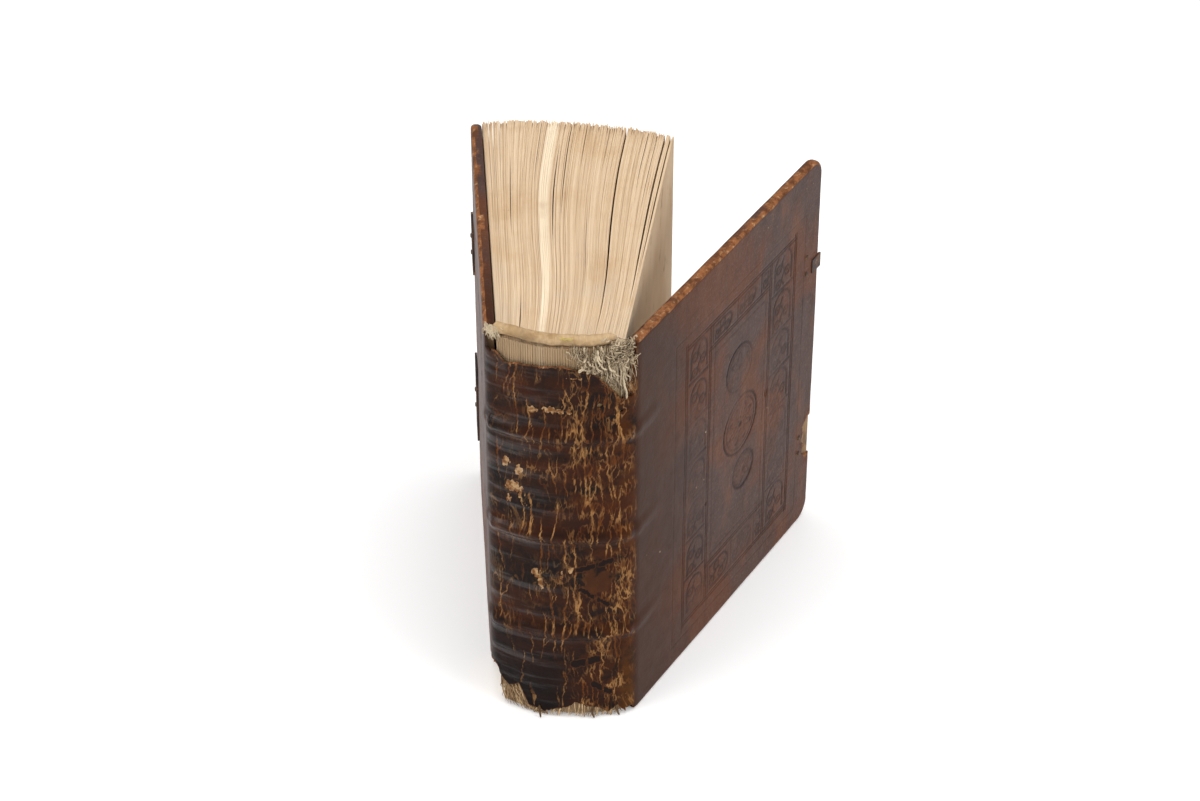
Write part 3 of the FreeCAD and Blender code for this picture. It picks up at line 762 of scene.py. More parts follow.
def wearAt(which, x, z, tilt):
    # the head edge is worn bare, the fore edge and the tail much less
    toHead = book["height"] - z
    toFore = book["coverWidth"] - x
    side = max(0.5 * (1 - smooth(toFore, 0.1, 1.8)), 0.55 * (1 - smooth(z, 0.1, 2.2)))
    ragged = 1.7 + 1.8 * wobble(x * 0.09, 8.8)
    wear = max(side, 1 - smooth(toHead, 0.4, max(ragged, 0.9)))
    if tilt > 0.25:
        wear = max(wear, 0.9 if toHead < 4 else 0.6)
    inner = smooth(tilt + 0.5 * wobble(x * 0.07, z * 0.07, 3), 1.25, 1.7)
    return wear * (1 - (0.85 if which == "back" else 0.5) * inner)


def lineEdges(*keys):  # the middles and edges of the tooled lines, where the grid has its lines too
    half = tooling["lineHalf"]
    middles = [place for key in keys for place, low, high in tooling[key]]
    return [middle + shift for middle in middles for shift in (-half, 0, half)]


def makeCoverSkin(which, material):
    cover = covers[which]
    side = cover["side"]
    height = book["height"]
    form = bmesh.new()
    layers = vertLayers(form, "place", "marks")
    flags = form.verts.layers.int.new("lost")
    flatLimit = book["coverWidth"] - book["arris"]
    head = height - book["arris"]
    tail = book["arris"]
    overEdge = [edgeRun * step / skin["edgeSteps"] for step in range(1, skin["edgeSteps"] + 1)]
    columns = spacedOut(-book["jointRun"], flatLimit, 0.72, lineEdges("uprights", "fineUprights"))
    columns += [flatLimit + reach for reach in overEdge]
    rows = [tail - reach for reach in reversed(overEdge)]
    rows += spacedOut(tail, head, 0.78, lineEdges("levels", "fineLevels"))
    rows += [head + reach for reach in overEdge]

    def isLost(along, row, low):  # beyond a torn edge there is no leather to fold over
        torn = along < skin["torn"]
        below = row < tail - 0.01
        above = row > head + 0.01
        return (torn and (below or above)) or (low > 0 and below)

    def tornEdges(past):  # at a distance past the joint
        low = -1.0
        high = height + 1
        if past < skin["torn"]:
            run = side * (halfArc + past)
            high = headEdge(run)
            low = tailEdge(run)
            if side > 0:
                share = smooth(past, -1.5, skin["torn"])
                high += (height - high) * share
                low -= low * share
        if which == "back" and past < 30:
            loss = lineAt(lostCorner, max(past, 0)) + 0.7 * wobble(past * 0.7, 41)
            if past >= skin["torn"]:
                low = max(low, loss)
            else:
                low += (loss - low) * smooth(past, -3, skin["torn"])
        return low, high

    def place(vert, along, row):
        low, high = tornEdges(along)
        level = row
        if low > 0 and row < skin["tailRows"]:
            level = tailRow(row, low)
        if high < height and row > skin["headRows"]:
            level = headRow(row, high)
        point, normal, x, z, tilt = coverPoint(side, along, level)
        pressed, ornament = toolingAt(x, z) if tilt < 0.3 else (0.0, 0.0)
        if x < 0:
            run = side * (halfArc + x)
            crack = crackAt(run, z)
            scuff = scuffAt(run, z)
            relief = spineRelief(run, z, crack, scuff)
            blend = smooth(x, -book["jointRun"], 0)
            relief = relief * (1 - blend) + coverRelief(which, 0, z, 0, 0) * blend
        else:
            crack = crackAt(side * (halfArc + x), z) * (1 - smooth(x, 0, 5))
            scuff = 0.0
            relief = coverRelief(which, x, z, pressed, ornament)
            overTurn = smooth(tilt, 0.2, 1.4)
            relief = relief * (1 - overTurn) + 0.10 * wobble(x * 0.13, z * 0.13, tilt) * overTurn
        wear = wearAt(which, x, z, tilt)
        if which == "back" and low > 0:
            wear = max(wear, 1 - smooth(z - low, 0.2, 3))
        if which == "front":
            seat = math.hypot((book["coverWidth"] - x) / 9, (z - 47) / 15)
            wear = max(wear, 0.8 * (1 - smooth(seat, 0.7, 1.25)))
        vert.co = point + normal * relief
        zone = 1 - smooth(x, -1.0, 2.5)
        tooled = max(pressed, ornament)
        markVert(vert, layers, side * (halfArc + along), level, zone, crack, wear, tooled, scuff)
        vert[flags] = isLost(along, row, low)

    gridOf(form, columns, rows, place)
    lost = [face for face in form.faces if any(vert[flags] for vert in face.verts)]
    if which == "front":
        for face in form.faces:
            centre = face.calc_center_median()
            along = (centre - cover["joint"]).dot(cover["along"])
            inHole = any((centre - planPoint(side, past)[0] - Vector((0, 0, level))).length < radius
                         for past, level, radius in jointHoles)
            if inHole or insideTornSeat(along, centre.z):
                lost.append(face)
    bmesh.ops.delete(form, geom=list(set(lost)), context="FACES")
    loose = [vert for vert in form.verts if not vert.link_faces]
    bmesh.ops.delete(form, geom=loose, context="VERTS")
    if side < 0:
        bmesh.ops.reverse_faces(form, faces=form.faces)
    seamPlace = planPoint(side, -book["jointRun"])[0]

    def isLip(edge):  # every edge but the seam to the spine and the rim inside the cover
        first, second = edge.verts
        onSeam = (first.co - seamPlace).to_2d().length < 0.7 and abs(first.co.z - second.co.z) > 0.3
        depth = (first.co - cover["joint"]).dot(cover["outward"])
        return not onSeam and depth > 0.5 - book["coverThickness"]

    addLips(form, skin["thickness"], lambda point: -cover["outward"], isLip)
    name = which + "_cover_skin"
    piece = finishMesh(name, form, material, None, [which + "_leather"])
    start = spinePoint(side * (halfArc - 3.2))[0] / 1000
    stop = (cover["joint"] + cover["along"] * 3.0) / 1000
    which + "_cover"
    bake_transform(piece)


# Turn-ins: leather folded over three edges and pasted down inside each cover

turnIn = {
    "width": 17.0,
    "inset": 3.0,  # from the cover's outline
    "start": 2.0,  # past the joint
    "steps": (51, 7, 61),  # along the tail, round a corner, up the fore edge
    "section": [(0.0, 4.78), (0.08, 4.93), (0.4, 4.95), (0.8, 4.94), (1.0, 4.9), (1.0, 4.45)],
}


def turnInOutline():  # along and level, from the tail at the joint round to the head
    width = book["coverWidth"]
    height = book["height"]
    corner = book["cornerRound"]
    inset = turnIn["inset"]
    start = turnIn["start"]
    tailSteps, cornerSteps, foreSteps = turnIn["steps"]
    tail = width - corner - start
    fore = height - 2 * corner
    outline = [(start + tail * step / tailSteps, inset) for step in range(tailSteps + 1)]
    for step in range(1, cornerSteps):
        turn = -math.pi / 2 + math.pi / 2 * step / cornerSteps
        outline.append((width - corner + (corner - inset) * math.cos(turn),
                        corner + (corner - inset) * math.sin(turn)))
    mirrored = [(x, height - z) for x, z in reversed(outline)]
    outline += [(width - inset, corner + fore * step / foreSteps) for step in range(foreSteps + 1)]
    return outline + mirrored


def makeTurnIn(which, material):
    cover = covers[which]
    form = bmesh.new()
    layers = vertLayers(form, "place", "marks")
    width = book["coverWidth"]
    height = book["height"]
    outline = turnInOutline()

    def place(vert, station, index):
        x, z = outline[station]
        share, depth = turnIn["section"][index]
        ragged = 1.6 * wobble(station * 0.21, 4.4) + 0.7 * wobble(station * 0.9, 2.2)
        inner = turnIn["width"] + ragged - 1.5
        inX = min(x, width - inner)
        inZ = min(max(z, inner), height - inner)
        x += (inX - x) * share
        z += (inZ - z) * share
        lift = 0.08 * wobble(x * 0.2, z * 0.2, 6) if index > 0 else 0
        flat = cover["joint"] + cover["along"] * x - cover["outward"] * (depth + lift)
        vert.co = flat + Vector((0, 0, z))
        wear = 0.5 if index > 3 else 0.1
        markVert(vert, layers, cover["side"] * (halfArc + x), z, 0.0, 0.0, wear, 0.0, 0.0)

    def isLost(centre):
        past = (centre - cover["joint"]).dot(cover["along"])
        if which == "back":
            return past < 29.5 and centre.z < lineAt(lostCorner, max(past, 0)) + 0.4
        return insideTornSeat(past + 1, centre.z)

    gridOf(form, range(len(outline)), range(len(turnIn["section"])), place)
    lost = [face for face in form.faces if isLost(face.calc_center_median())]
    bmesh.ops.delete(form, geom=lost, context="FACES")
    if which == "front":
        bmesh.ops.reverse_faces(form, faces=form.faces)
    name = which + "_turn_in"
    finishMesh(name, form, material, which + "_cover", [which + "_leather"])


def coverColour(finish, flat, run, level, tooled, cloud, mottle):
    # greyer in the middle of a cover, redder towards the joint and the tail
    streaks = finish.noise(finish.stretched(flat, (9, 1, 1)), 26, 4, 0.6)
    drift = finish.noise(finish.stretched(flat, (1.6, 0.7, 1), turn=(0, 0, 0.5)), 40, 5, 0.6)
    freckle = finish.noise(flat, 620, 3, 0.6)
    stains = finish.noise(finish.stretched(flat, (1.2, 0.8, 1), (3, 2, 0)), 22, 3, 0.6, 0.8)
    specks = 1 - finish.cells(flat, 210).between(0.04, 0.12)
    speckled = specks * finish.noise(flat, 60, 2).between(0.60, 0.70)
    nearJoint = 1 - (run.sum("ABSOLUTE") - halfArc / 1000).between(0.0, 0.075)
    nearTail = 1 - level.between(0.0, 0.09)
    redness = cloud.between(0.42, 0.60) * 0.95 + nearJoint * 0.4 + nearTail * 0.4 - 0.15
    return finish.coats(
        tone(74, 55, 50),
        (redness.clamped(), tone(92, 52, 30)),
        (streaks.between(0.46, 0.72) * 0.45, tone(60, 42, 36)),
        (drift.between(0.52, 0.74) * 0.55, tone(110, 70, 46)),
        (mottle.between(0.5, 0.72) * 0.4, tone(58, 42, 38)),
        (freckle.between(0.5, 0.72) * 0.35, tone(112, 88, 76)),
        (stains.between(0.58, 0.74) * 0.45, tone(48, 40, 40)),
        (nearJoint * 0.9, tone(54, 29, 16)),
        (tooled * 0.75, tone(32, 21, 18)),
        (speckled * 0.8, tone(186, 160, 128)))


def spineColour(finish, flat, run, level, zone, crack, tooled, cloud, mottle):
    # bands of black and red brown, and a net of worn cracks that is densest near the front joint
    toFront = run.between(-0.014, 0.034)
    layered = finish.noise(finish.stretched(flat, (0.3, 1.5, 1)), 46, 4, 0.6, 0.5)
    rust = finish.noise(flat, 95, 5, 0.65, 0.5).between(0.44, 0.62) * (0.25 + toFront * 0.75)
    joint = run.between(0.0235, 0.0300) * zone
    jointRust = joint * finish.noise(flat, 130, 4, 0.65).between(0.40, 0.62)
    lowRust = joint * (1 - level.between(0.005, 0.05))
    dusk = (1 - level.between(0.018, 0.055)) * (1 - run.between(-0.004, 0.012))
    paler = finish.noise(flat, 90, 3).between(0.4, 0.6)
    crackTone = finish.mix(paler, tone(104, 60, 28), tone(170, 124, 76))
    broken = finish.noise(flat, 380, 4, 0.7).between(0.34, 0.58)
    upright = finish.stretched(flat, (1, 0.34, 1))
    veins = finish.vein(upright, 130, 0.022) * finish.noise(flat, 50, 3).between(0.45, 0.6)
    hairs = finish.vein(upright, 330, 0.05) * (toFront + 0.25)
    hairs = hairs * finish.noise(flat, 80, 3).between(0.42, 0.6)
    cracked = crack.between(0.12, 0.7) * (0.35 + broken * 0.65) + veins * (0.35 + toFront * 0.5)
    cracked = (cracked + hairs * 0.55 - dusk * 0.5).clamped()
    pits = finish.noise(flat, 210, 3, 0.6).between(0.63, 0.70) * (toFront * 0.8 + 0.1)
    plain = tooled.between(0.05, 0.45) * (0.3 + mottle * 0.7)
    colour = finish.coats(
        tone(24, 16, 13),
        (layered.between(0.38, 0.66), tone(58, 28, 14)),
        (cloud.between(0.42, 0.6) * 0.6, tone(22, 17, 16)),
        (rust * 0.7, tone(70, 34, 10)),
        (jointRust * 0.75, tone(74, 40, 15)),
        (lowRust * 0.5, tone(88, 52, 8)),
        (dusk * 0.8, tone(17, 13, 13)),
        (cracked * 0.82, crackTone),
        (pits * 0.8, tone(20, 13, 11)),
        (plain, tone(76, 42, 20)),
        (tooled.between(0.6, 0.9) * 0.92, tone(19, 13, 12)))
    return colour, cracked


def leatherFinish():
    finish = Finish("bookLeather")
    place = finish.attribute("place")
    run, level, zone = finish.parts(place)
    crack, wear, tooled = finish.parts(finish.attribute("marks", "Color"))
    scuff = finish.attribute("marks", "Alpha")
    flat = finish.stretched(place, (1, 1, 0))
    cloud = finish.noise(flat, 16, 4, 0.55, 0.4)
    mottle = finish.noise(flat, 150, 4, 0.6)
    cover = coverColour(finish, flat, run, level, tooled, cloud, mottle)
    spine, cracked = spineColour(finish, flat, run, level, zone, crack, tooled, cloud, mottle)

    flaked = scuff.between(0.1, 0.8) + finish.noise(flat, 260, 4, 0.7) * 0.9 - 0.5
    flakePale = finish.noise(flat, 340, 4, 0.7).between(0.4, 0.62)
    flakeTone = finish.mix(flakePale, tone(116, 74, 40), tone(186, 150, 108))
    rubbed = wear * 1.3 + finish.noise(flat, 130, 5, 0.7) - 0.75
    edgeTone = finish.coats(  # orange suede with paler and darker spots
        tone(138, 88, 54),
        (finish.noise(flat, 420, 4, 0.7).between(0.52, 0.72) * 0.8, tone(200, 164, 124)),
        (finish.noise(flat, 140, 4, 0.7).between(0.42, 0.60) * 0.85, tone(78, 48, 32)))
    colour = finish.coats(
        cover,
        (zone, spine),
        (flaked.between(0.25, 0.6) * 0.85, flakeTone),
        (rubbed.between(0.2, 0.62), edgeTone))

    grain = finish.cells(flat, 1100)
    pores = finish.noise(flat, 1500, 4, 0.6)
    lines = finish.noise(finish.stretched(flat, (0.5, 2.2, 1)), 300, 3, 0.6)
    normal = finish.bump(grain * 0.35 + pores * 0.4 + lines * 0.3 + mottle * 0.5, 0.35, 0.0004)
    rough = 0.33 + mottle * 0.16 + cracked * zone * 0.3 + wear * 0.28 + scuff * 0.3 - zone * 0.05
    gloss = finish.noise(finish.stretched(flat, (0.25, 2.4, 1)), 90, 4, 0.6).between(0.48, 0.66)
    polish = gloss * zone * (1 - run.between(-0.020, 0.012)) * (1 - wear) * 0.55
    return finish.surface(colour, rough.clamped(), normal, Specular_IOR_Level=0.06,
                          Coat_Weight=polish, Coat_Roughness=0.24)


leather = leatherFinish()
print("leather finish made")
makeSpineSkin(leather)
print("spine skin made")
for which in covers:
    makeCoverSkin(which, leather)
for which in covers:
    makeTurnIn(which, leather)
print("cover skins made")

# Leaves: gatherings of nested folded sheets, fanned out to the fore edge

leaves = {
    "gatherings": 52,
    "foldRadius": 60.75,
    "backAngle": -0.439,
    "frontAngle": 0.445,
    "backReach": 86.3,
    "frontReach": 77.8,
    "foreArch": 5.4,
    "foldWidth": 53.7,  # over all leaves
    "foreWidth": 86.0,
    "tail": 1.2,
    "head": 198.7,
    "pieces": 4,
    "stations": 24,
    "gaps": [  # place across, start and end from the folds, opening
        (0.766, 0.03, 1.0, 0.75), (0.965, 0.15, 1.02, 0.85), (0.985, 0.3, 1.02, 0.5),
        (0.425, 0.42, 0.9, 0.5), (0.20, 0.05, 0.16, 0.5), (0.15, 0.46, 0.82, 0.4),
        (0.03, 0.5, 1.02, 0.15), (0.055, 0.6, 1.02, 0.15), (0.47, 0.55, 1.02, 0.35),
        (0.88, 0.72, 1.02, 0.3), (0.62, 0.25, 0.62, 0.2), (0.31, 0.66, 1.02, 0.25),
        (0.09, 0.72, 1.02, 0.15), (0.55, 0.8, 1.02, 0.2), (0.68, 0.82, 1.02, 0.2),
        (0.93, 0.6, 1.02, 0.3),
    ],
}


def leafEnds(share):  # where a leaf starts at the folds and ends at the fore edge
    angle = leaves["backAngle"] + (leaves["frontAngle"] - leaves["backAngle"]) * share
    normal = turnedBySkew(math.sin(angle), -math.cos(angle))
    ends = []
    for which, limit in (("back", leaves["backReach"]), ("front", leaves["frontReach"])):
        corner = leaves[which + "Angle"]
        start = spineAxis + turnedBySkew(math.sin(corner), -math.cos(corner)) * leaves["foldRadius"]
        lean = math.tan(book["fan"]) * (-1 if which == "back" else 1)
        ends.append(Vector((start.x + lean * (limit - start.y), limit, 0)))
    outer = ends[0].lerp(ends[1], share)
    outer.y += 4 * leaves["foreArch"] * share * (1 - share)
    return spineAxis + normal * leaves["foldRadius"], outer, normal


def leafLayout(rng):
    count = leaves["gatherings"] * 4
    stations = np.array([0.0, 0.012] + [0.03 + 0.97 * (index / (leaves["stations"] - 3)) ** 0.9
                                        for index in range(leaves["stations"] - 2)])
    stations[-1] = 1.0
    thick = np.array([rng.uniform(0.8, 1.2) for index in range(count)])
    loose = np.array([rng.random() ** 3 for index in range(count)])
    start = np.zeros((len(stations), count))
    stop = np.zeros((len(stations), count))
    for row, depth in enumerate(stations):
        width = leaves["foldWidth"] + (leaves["foreWidth"] - leaves["foldWidth"]) * depth
        gaps = 0.006 + 0.035 * loose * smooth(depth, 0.15, 1.0)
        for place, low, high, opening in leaves["gaps"]:
            middle = min((low + high) / 2, 0.97)
            span = middle - low if depth < middle else max(high - middle, 0.05)
            if low < depth < high or (depth == 1.0 and high >= 1):
                shape = 1 - ((depth - middle) / span) ** 2 if high < 1 or depth < middle else 1.0
                gaps[min(int(place * count), count - 2)] += opening * max(shape, 0.0)
        gaps[-1] = 0
        scale = (width - gaps.sum()) / thick.sum()
        edge = np.cumsum(np.concatenate(([0], thick * scale + gaps)))
        start[row] = edge[:-1] / width
        stop[row] = (edge[:-1] + thick * scale) / width
    return stations, start, stop


def leafPoint(share, depth, level, reach):
    inner, outer, normal = leafEnds(share)
    place = inner.lerp(outer, depth)
    sway = -1.3 * math.sin(2 * math.pi * (depth - 0.45)) * math.sin(math.pi * share)
    sway *= smooth(depth, 0, 0.2)
    wave = 1.5 * wobble(share * 3, depth * 2.2, level * 0.012) * smooth(depth, 0.05, 0.5)
    wave *= math.sin(math.pi * min(max(share, 0.0), 1.0)) ** 0.5
    place.x += sway + wave
    place.y += reach
    return place


def makeSheet(form, layers, rng, stations, start, stop, left, right, tail, head):
    # one folded sheet, from the fore edge round the fold and back, closed all round
    outermost = left < 3 or right > leaves["gatherings"] * 4 - 4
    rows = spacedOut(tail, head, 3.5) if outermost else [tail, tail + 2.5, 60, 130, head - 2.5, head]
    loop = rows + rows[::-1] + rows[:1]
    faces = ["outer"] * len(rows) + ["inner"] * len(rows) + ["outer"]
    path = [(left, row) for row in range(len(stations) - 1, -1, -1)]
    path += [("fold", turn) for turn in (0.25, 0.5, 0.75)]
    path += [(right, row) for row in range(len(stations))]
    shade = {left: rng.random(), right: rng.random()}
    lower = {left: rng.random() ** 2 * 0.5, right: rng.random() ** 2 * 0.5}
    cornerDrop = {left: rng.random() ** 3 * 1.8 + 0.2, right: rng.random() ** 3 * 1.8 + 0.2}
    reach = {left: rng.uniform(-0.6, 0.2), right: rng.uniform(-0.6, 0.2)}
    seed = rng.uniform(0, 90)

    def place(vert, station, index):
        face = faces[index]
        row = loop[index]
        kind, value = path[station]
        if kind == "fold":
            near, far = (start, stop) if face == "outer" else (stop, start)
            gap = far[0][right] - near[0][left]
            share = near[0][left] + gap * value
            inner, outer, normal = leafEnds(share)
            half = gap * leaves["foldWidth"] / 2
            point = inner + normal * (half * (0.75 if value == 0.5 else 0.55) - 0.35)
            depth = 0.0
            key = left
        else:
            key = kind
            depth = float(stations[value])
            table = start if (face == "outer") == (kind == left) else stop
            share = float(table[value][kind])
            ragged = 0.5 * wobble(row * 0.35, seed) + 0.3 * wobble(row * 0.09, seed)
            if outermost:
                ragged = 3.0 * min(wobble(row * 0.08, seed), 0.1)
                ragged += 1.6 * min(wobble(row * 0.31, seed), 0.2)
            ragged *= smooth(depth, 0.9, 1)
            point = leafPoint(share, depth, row, (reach[key] + ragged) * smooth(depth, 0.8, 1))
            if value == 0:
                point -= leafEnds(share)[2] * 0.35
        level = row
        drop = lower[key] + 0.3 * wobble(depth * 9, seed)
        drop += cornerDrop[key] * smooth(depth, 0.93, 1.0) ** 2
        if row > 150:  # the head
            level = row - max(drop, 0)
        elif row < 50:  # the tail
            level = row + max(drop, 0) * 0.8
        vert.co = point + Vector((0, 0, level))
        vert[layers[0]] = Vector((share * 400, depth, level / 200))
        vert[layers[1]] = Vector((shade[key], depth, share, 1.0))

    verts = gridOf(form, range(len(path)), range(len(loop)), place)
    bmesh.ops.remove_doubles(form, verts=verts, dist=0.0005)


def makeLeaves(material):
    rng = random.Random(7)
    stations, start, stop = leafLayout(rng)
    perPiece = leaves["gatherings"] // leaves["pieces"]
    for number in range(leaves["pieces"]):
        form = bmesh.new()
        layers = vertLayers(form, "leaf", "shade")
        for gathering in range(number * perPiece, (number + 1) * perPiece):
            lift = 0.25 * wobble(gathering * 0.7, 1.1)
            first = gathering * 4
            for left, right in ((first, first + 3), (first + 1, first + 2)):
                makeSheet(form, layers, rng, stations, start, stop, left, right,
                          leaves["tail"] + 0.2 * rng.random(), leaves["head"] + lift)
        rim = [edge for edge in form.edges if edge.is_boundary]
        bmesh.ops.holes_fill(form, edges=rim, sides=0)
        bmesh.ops.recalc_face_normals(form, faces=form.faces)
        name = "gatherings_%d" % (number + 1)
        piece = finishMesh(name, form, material, "block", ["text_block"])
        piece.data.shade_flat()


def paperFinish():
    finish = Finish("leafPaper")
    leaf = finish.attribute("leaf")
    shade, depth, share = finish.parts(finish.attribute("shade", "Color"))
    spot = finish.spot()
    streak = finish.noise(finish.stretched(leaf, (1, 2.2, 2.2)), 0.9, 4, 0.65)
    cloud = finish.noise(spot, 34, 4, 0.55)
    paleness = (shade * 0.35 + streak * 1.7 - 0.5).clamped()
    threadlike = finish.noise(finish.stretched(leaf, (1, 5, 5)), 2.6, 3, 0.6).between(0.60, 0.72)
    grey = finish.noise(spot, 60, 3, 0.5).between(0.4, 0.7) * (1 - depth.between(0.1, 0.6))
    pale = share.between(0.325, 0.345) * (1 - share.between(0.375, 0.40))
    stain = depth.between(0.90, 1.0) * finish.noise(spot, 90, 3).between(0.45, 0.65)
    specks = 1 - finish.cells(spot, 190).between(0.03, 0.09)
    speckled = specks * finish.noise(spot, 45, 2).between(0.56, 0.66)
    folded = 1 - depth.between(0.0, 0.012)
    foldTone = finish.mix(streak.between(0.42, 0.56), tone(92, 68, 44), tone(182, 154, 118))
    colour = finish.coats(
        tone(184, 154, 120),
        (paleness, tone(228, 205, 174)),
        (threadlike * (0.45 + depth * 0.35), tone(152, 120, 86)),
        (grey * 0.4, tone(196, 180, 158)),
        (pale * 0.75, tone(242, 228, 202)),
        (cloud.between(0.50, 0.72) * 0.45, tone(188, 154, 114)),
        (stain * 0.35, tone(176, 142, 104)),
        (speckled * 0.5, tone(120, 98, 76)),
        (folded * 0.85, foldTone))
    fibres = finish.noise(spot, 1600, 4, 0.6)
    normal = finish.bump(fibres + streak * 0.6, 0.25, 0.0003)
    return finish.surface(colour, 0.85, normal, Specular_IOR_Level=0.2)


makeLeaves(paperFinish())
print("leaves made")

# Headband, and threads frayed out of both ends of the spine

fray = {
    "headbandRadius": 2.35,
    "headbandLevel": 201.5,
    "headbandRun": (-30.5, 25.5),
    "lift": 0.3,  # of the lowest threads over the folds
}


def aroundSpine(run, level, lift):
    return spineAxis + spinePoint(run)[1] * (leaves["foldRadius"] + lift) + Vector((0, 0, level))


def makeTube(form, layers, points, radiusAt, sides, shade):
    lengths = [0.0]
    for first, second in zip(points, points[1:]):
        lengths.append(lengths[-1] + (second - first).length)

    def place(vert, turn, station):
        ahead = points[min(station + 1, len(points) - 1)] - points[max(station - 1, 0)]
        across = ahead.cross(Vector((0.21, 0.17, 0.96))).normalized()
        up = across.cross(ahead).normalized()
        angle = 2 * math.pi * turn / sides
        radius = radiusAt(station / (len(points) - 1), angle)
        vert.co = points[station] + (across * math.cos(angle) + up * math.sin(angle)) * radius
        vert[layers[0]] = Vector((lengths[station], turn / sides, shade[0] * 7))
        vert[layers[1]] = Vector((*shade, 1.0))

    gridOf(form, range(sides + 1), range(len(points)), place)


def addThread(form, layers, points, radius, taper, shade):
    def radiusAt(share, angle):
        return radius * (1 - taper * share) if 0 < share < 1 else 0.0

    makeTube(form, layers, points, radiusAt, 5, shade)


def closeTubes(form):
    bmesh.ops.remove_doubles(form, verts=form.verts, dist=0.0004)
    bmesh.ops.recalc_face_normals(form, faces=form.faces)


def makeHeadband(material):
    form = bmesh.new()
    layers = vertLayers(form, "strand", "shade")
    first, last = fray["headbandRun"]
    count = 420
    points = []
    for step in range(count):
        run = first + (last - first) * step / (count - 1)
        level = fray["headbandLevel"] + 0.5 * wobble(run * 0.09, 3) + 0.15 * wobble(run * 0.4, 8)
        points.append(aroundSpine(run, level, -2.3 + 0.35 * wobble(run * 0.12, 6)))

    def radiusAt(share, angle):
        if share <= 0 or share >= 1:
            return 0.0
        ends = smooth(share, 0, 0.03) * (1 - smooth(share, 0.955, 1))
        turns = 0.09 * math.cos(2 * math.pi * share * 105 + angle)
        uneven = 0.35 * wobble(share * 14, math.cos(angle), math.sin(angle))
        return (0.35 + 0.65 * ends) * (fray["headbandRadius"] + turns + uneven)

    makeTube(form, layers, points, radiusAt, 20, (0.6, 0.0, 0.0))
    closeTubes(form)
    finishMesh("headband_roll", form, material, "block", ["headband_core"])


def threadPoints(rng, run, level, lift, count, fall, drift, curl, floor=None):
    # a thread that hangs and curls from a place on the spine
    points = []
    phase = rng.uniform(0, 6.3)
    pitch = rng.uniform(0.5, 1.3)
    swing = rng.uniform(-1, 1)
    for step in range(count):
        share = step / (count - 1)
        sideways = drift * share + curl * math.sin(phase + pitch * step) * share + swing * share * share
        bow = math.sin(math.pi * share * 0.8)
        outwards = lift + curl * 0.8 * (1 + math.cos(phase * 1.7 + pitch * 0.8 * step)) * bow
        down = level - fall * share ** 0.85 + 0.4 * curl * math.sin(phase + 1.3 * step) * share
        if floor is not None:
            down = max(down, floor)
        points.append(aroundSpine(run + sideways, down, max(outwards, 0.15)))
    return points


def makeHeadFringe(material):
    rng = random.Random(21)
    form = bmesh.new()
    layers = vertLayers(form, "strand", "shade")

    def thread(points, radius, paleness, yellow=0.0):
        addThread(form, layers, points, radius, 0.35, (paleness, yellow, rng.random()))

    def room(run, level):  # down to the torn edge of the leather
        return level - headEdge(min(run, 27))

    for index in range(150):  # threads that hang from the headband, longer towards its torn end
        run = 2 + 29 * rng.random() ** 0.75
        level = rng.uniform(196, 201.5)
        fall = min(rng.uniform(0.3, 1.05), 1.0) * room(run, level) * smooth(run, -6, 14)
        points = threadPoints(rng, run, level, rng.uniform(0.2, 1.6), 10, fall,
                              rng.uniform(-1.5, 3.5), 0.7)
        thread(points, rng.uniform(0.10, 0.26), rng.random())
    for index in range(26):  # thicker twisted strands
        run = rng.uniform(9, 29)
        level = rng.uniform(190, 202)
        fall = rng.uniform(0.5, 1.0) * room(run, level)
        points = threadPoints(rng, run, level, rng.uniform(0.8, 2.2), 14, fall, rng.uniform(-2, 4), 1.0)
        thread(points, rng.uniform(0.35, 0.6), rng.uniform(0.5, 1))
    for index in range(80):  # short threads that cover the torn edge near the front joint
        run = rng.uniform(15, 28)
        level = rng.uniform(181, 194)
        fall = rng.uniform(0.6, 1.05) * max(room(run, level), 2)
        points = threadPoints(rng, run, level, rng.uniform(0.2, 1.2), 9, fall, rng.uniform(-1.5, 2), 0.6)
        thread(points, rng.uniform(0.12, 0.3), rng.uniform(0.1, 0.9))
    for index in range(120):  # the tangle at the front end
        run = min(rng.gauss(27.0, 2.8), 31.0)
        level = rng.uniform(193, 203.5)
        points = threadPoints(rng, run, level, rng.uniform(0.2, 2.6), 12, rng.uniform(-3, 5),
                              rng.uniform(-4, 2), rng.uniform(0.8, 1.7))
        thread(points, rng.uniform(0.12, 0.36), rng.uniform(0.3, 1))
    for index in range(90):  # the pale clump at the back end
        run = rng.gauss(-30.5, 2.0)
        level = rng.uniform(199.5, 203.5)
        points = threadPoints(rng, max(run, -33.5), level, rng.uniform(-4.0, -0.5), 10, rng.uniform(0, 5),
                              rng.uniform(-2.5, 3.5), rng.uniform(0.4, 1.0))
        thread(points, rng.uniform(0.12, 0.34), rng.uniform(0.6, 1))
    for index in range(16):  # a few yellow threads over the middle
        run = rng.gauss(3.2, 1.0)
        points = threadPoints(rng, run, 203.4, rng.uniform(-4, -2), 8, rng.uniform(-1.5, 1.0),
                              rng.uniform(-2.5, 2.5), 0.6)
        thread(points, rng.uniform(0.10, 0.2), 0.8, 1.0)
    closeTubes(form)
    finishMesh("head_threads", form, material, "block", ["headband_fringe"])


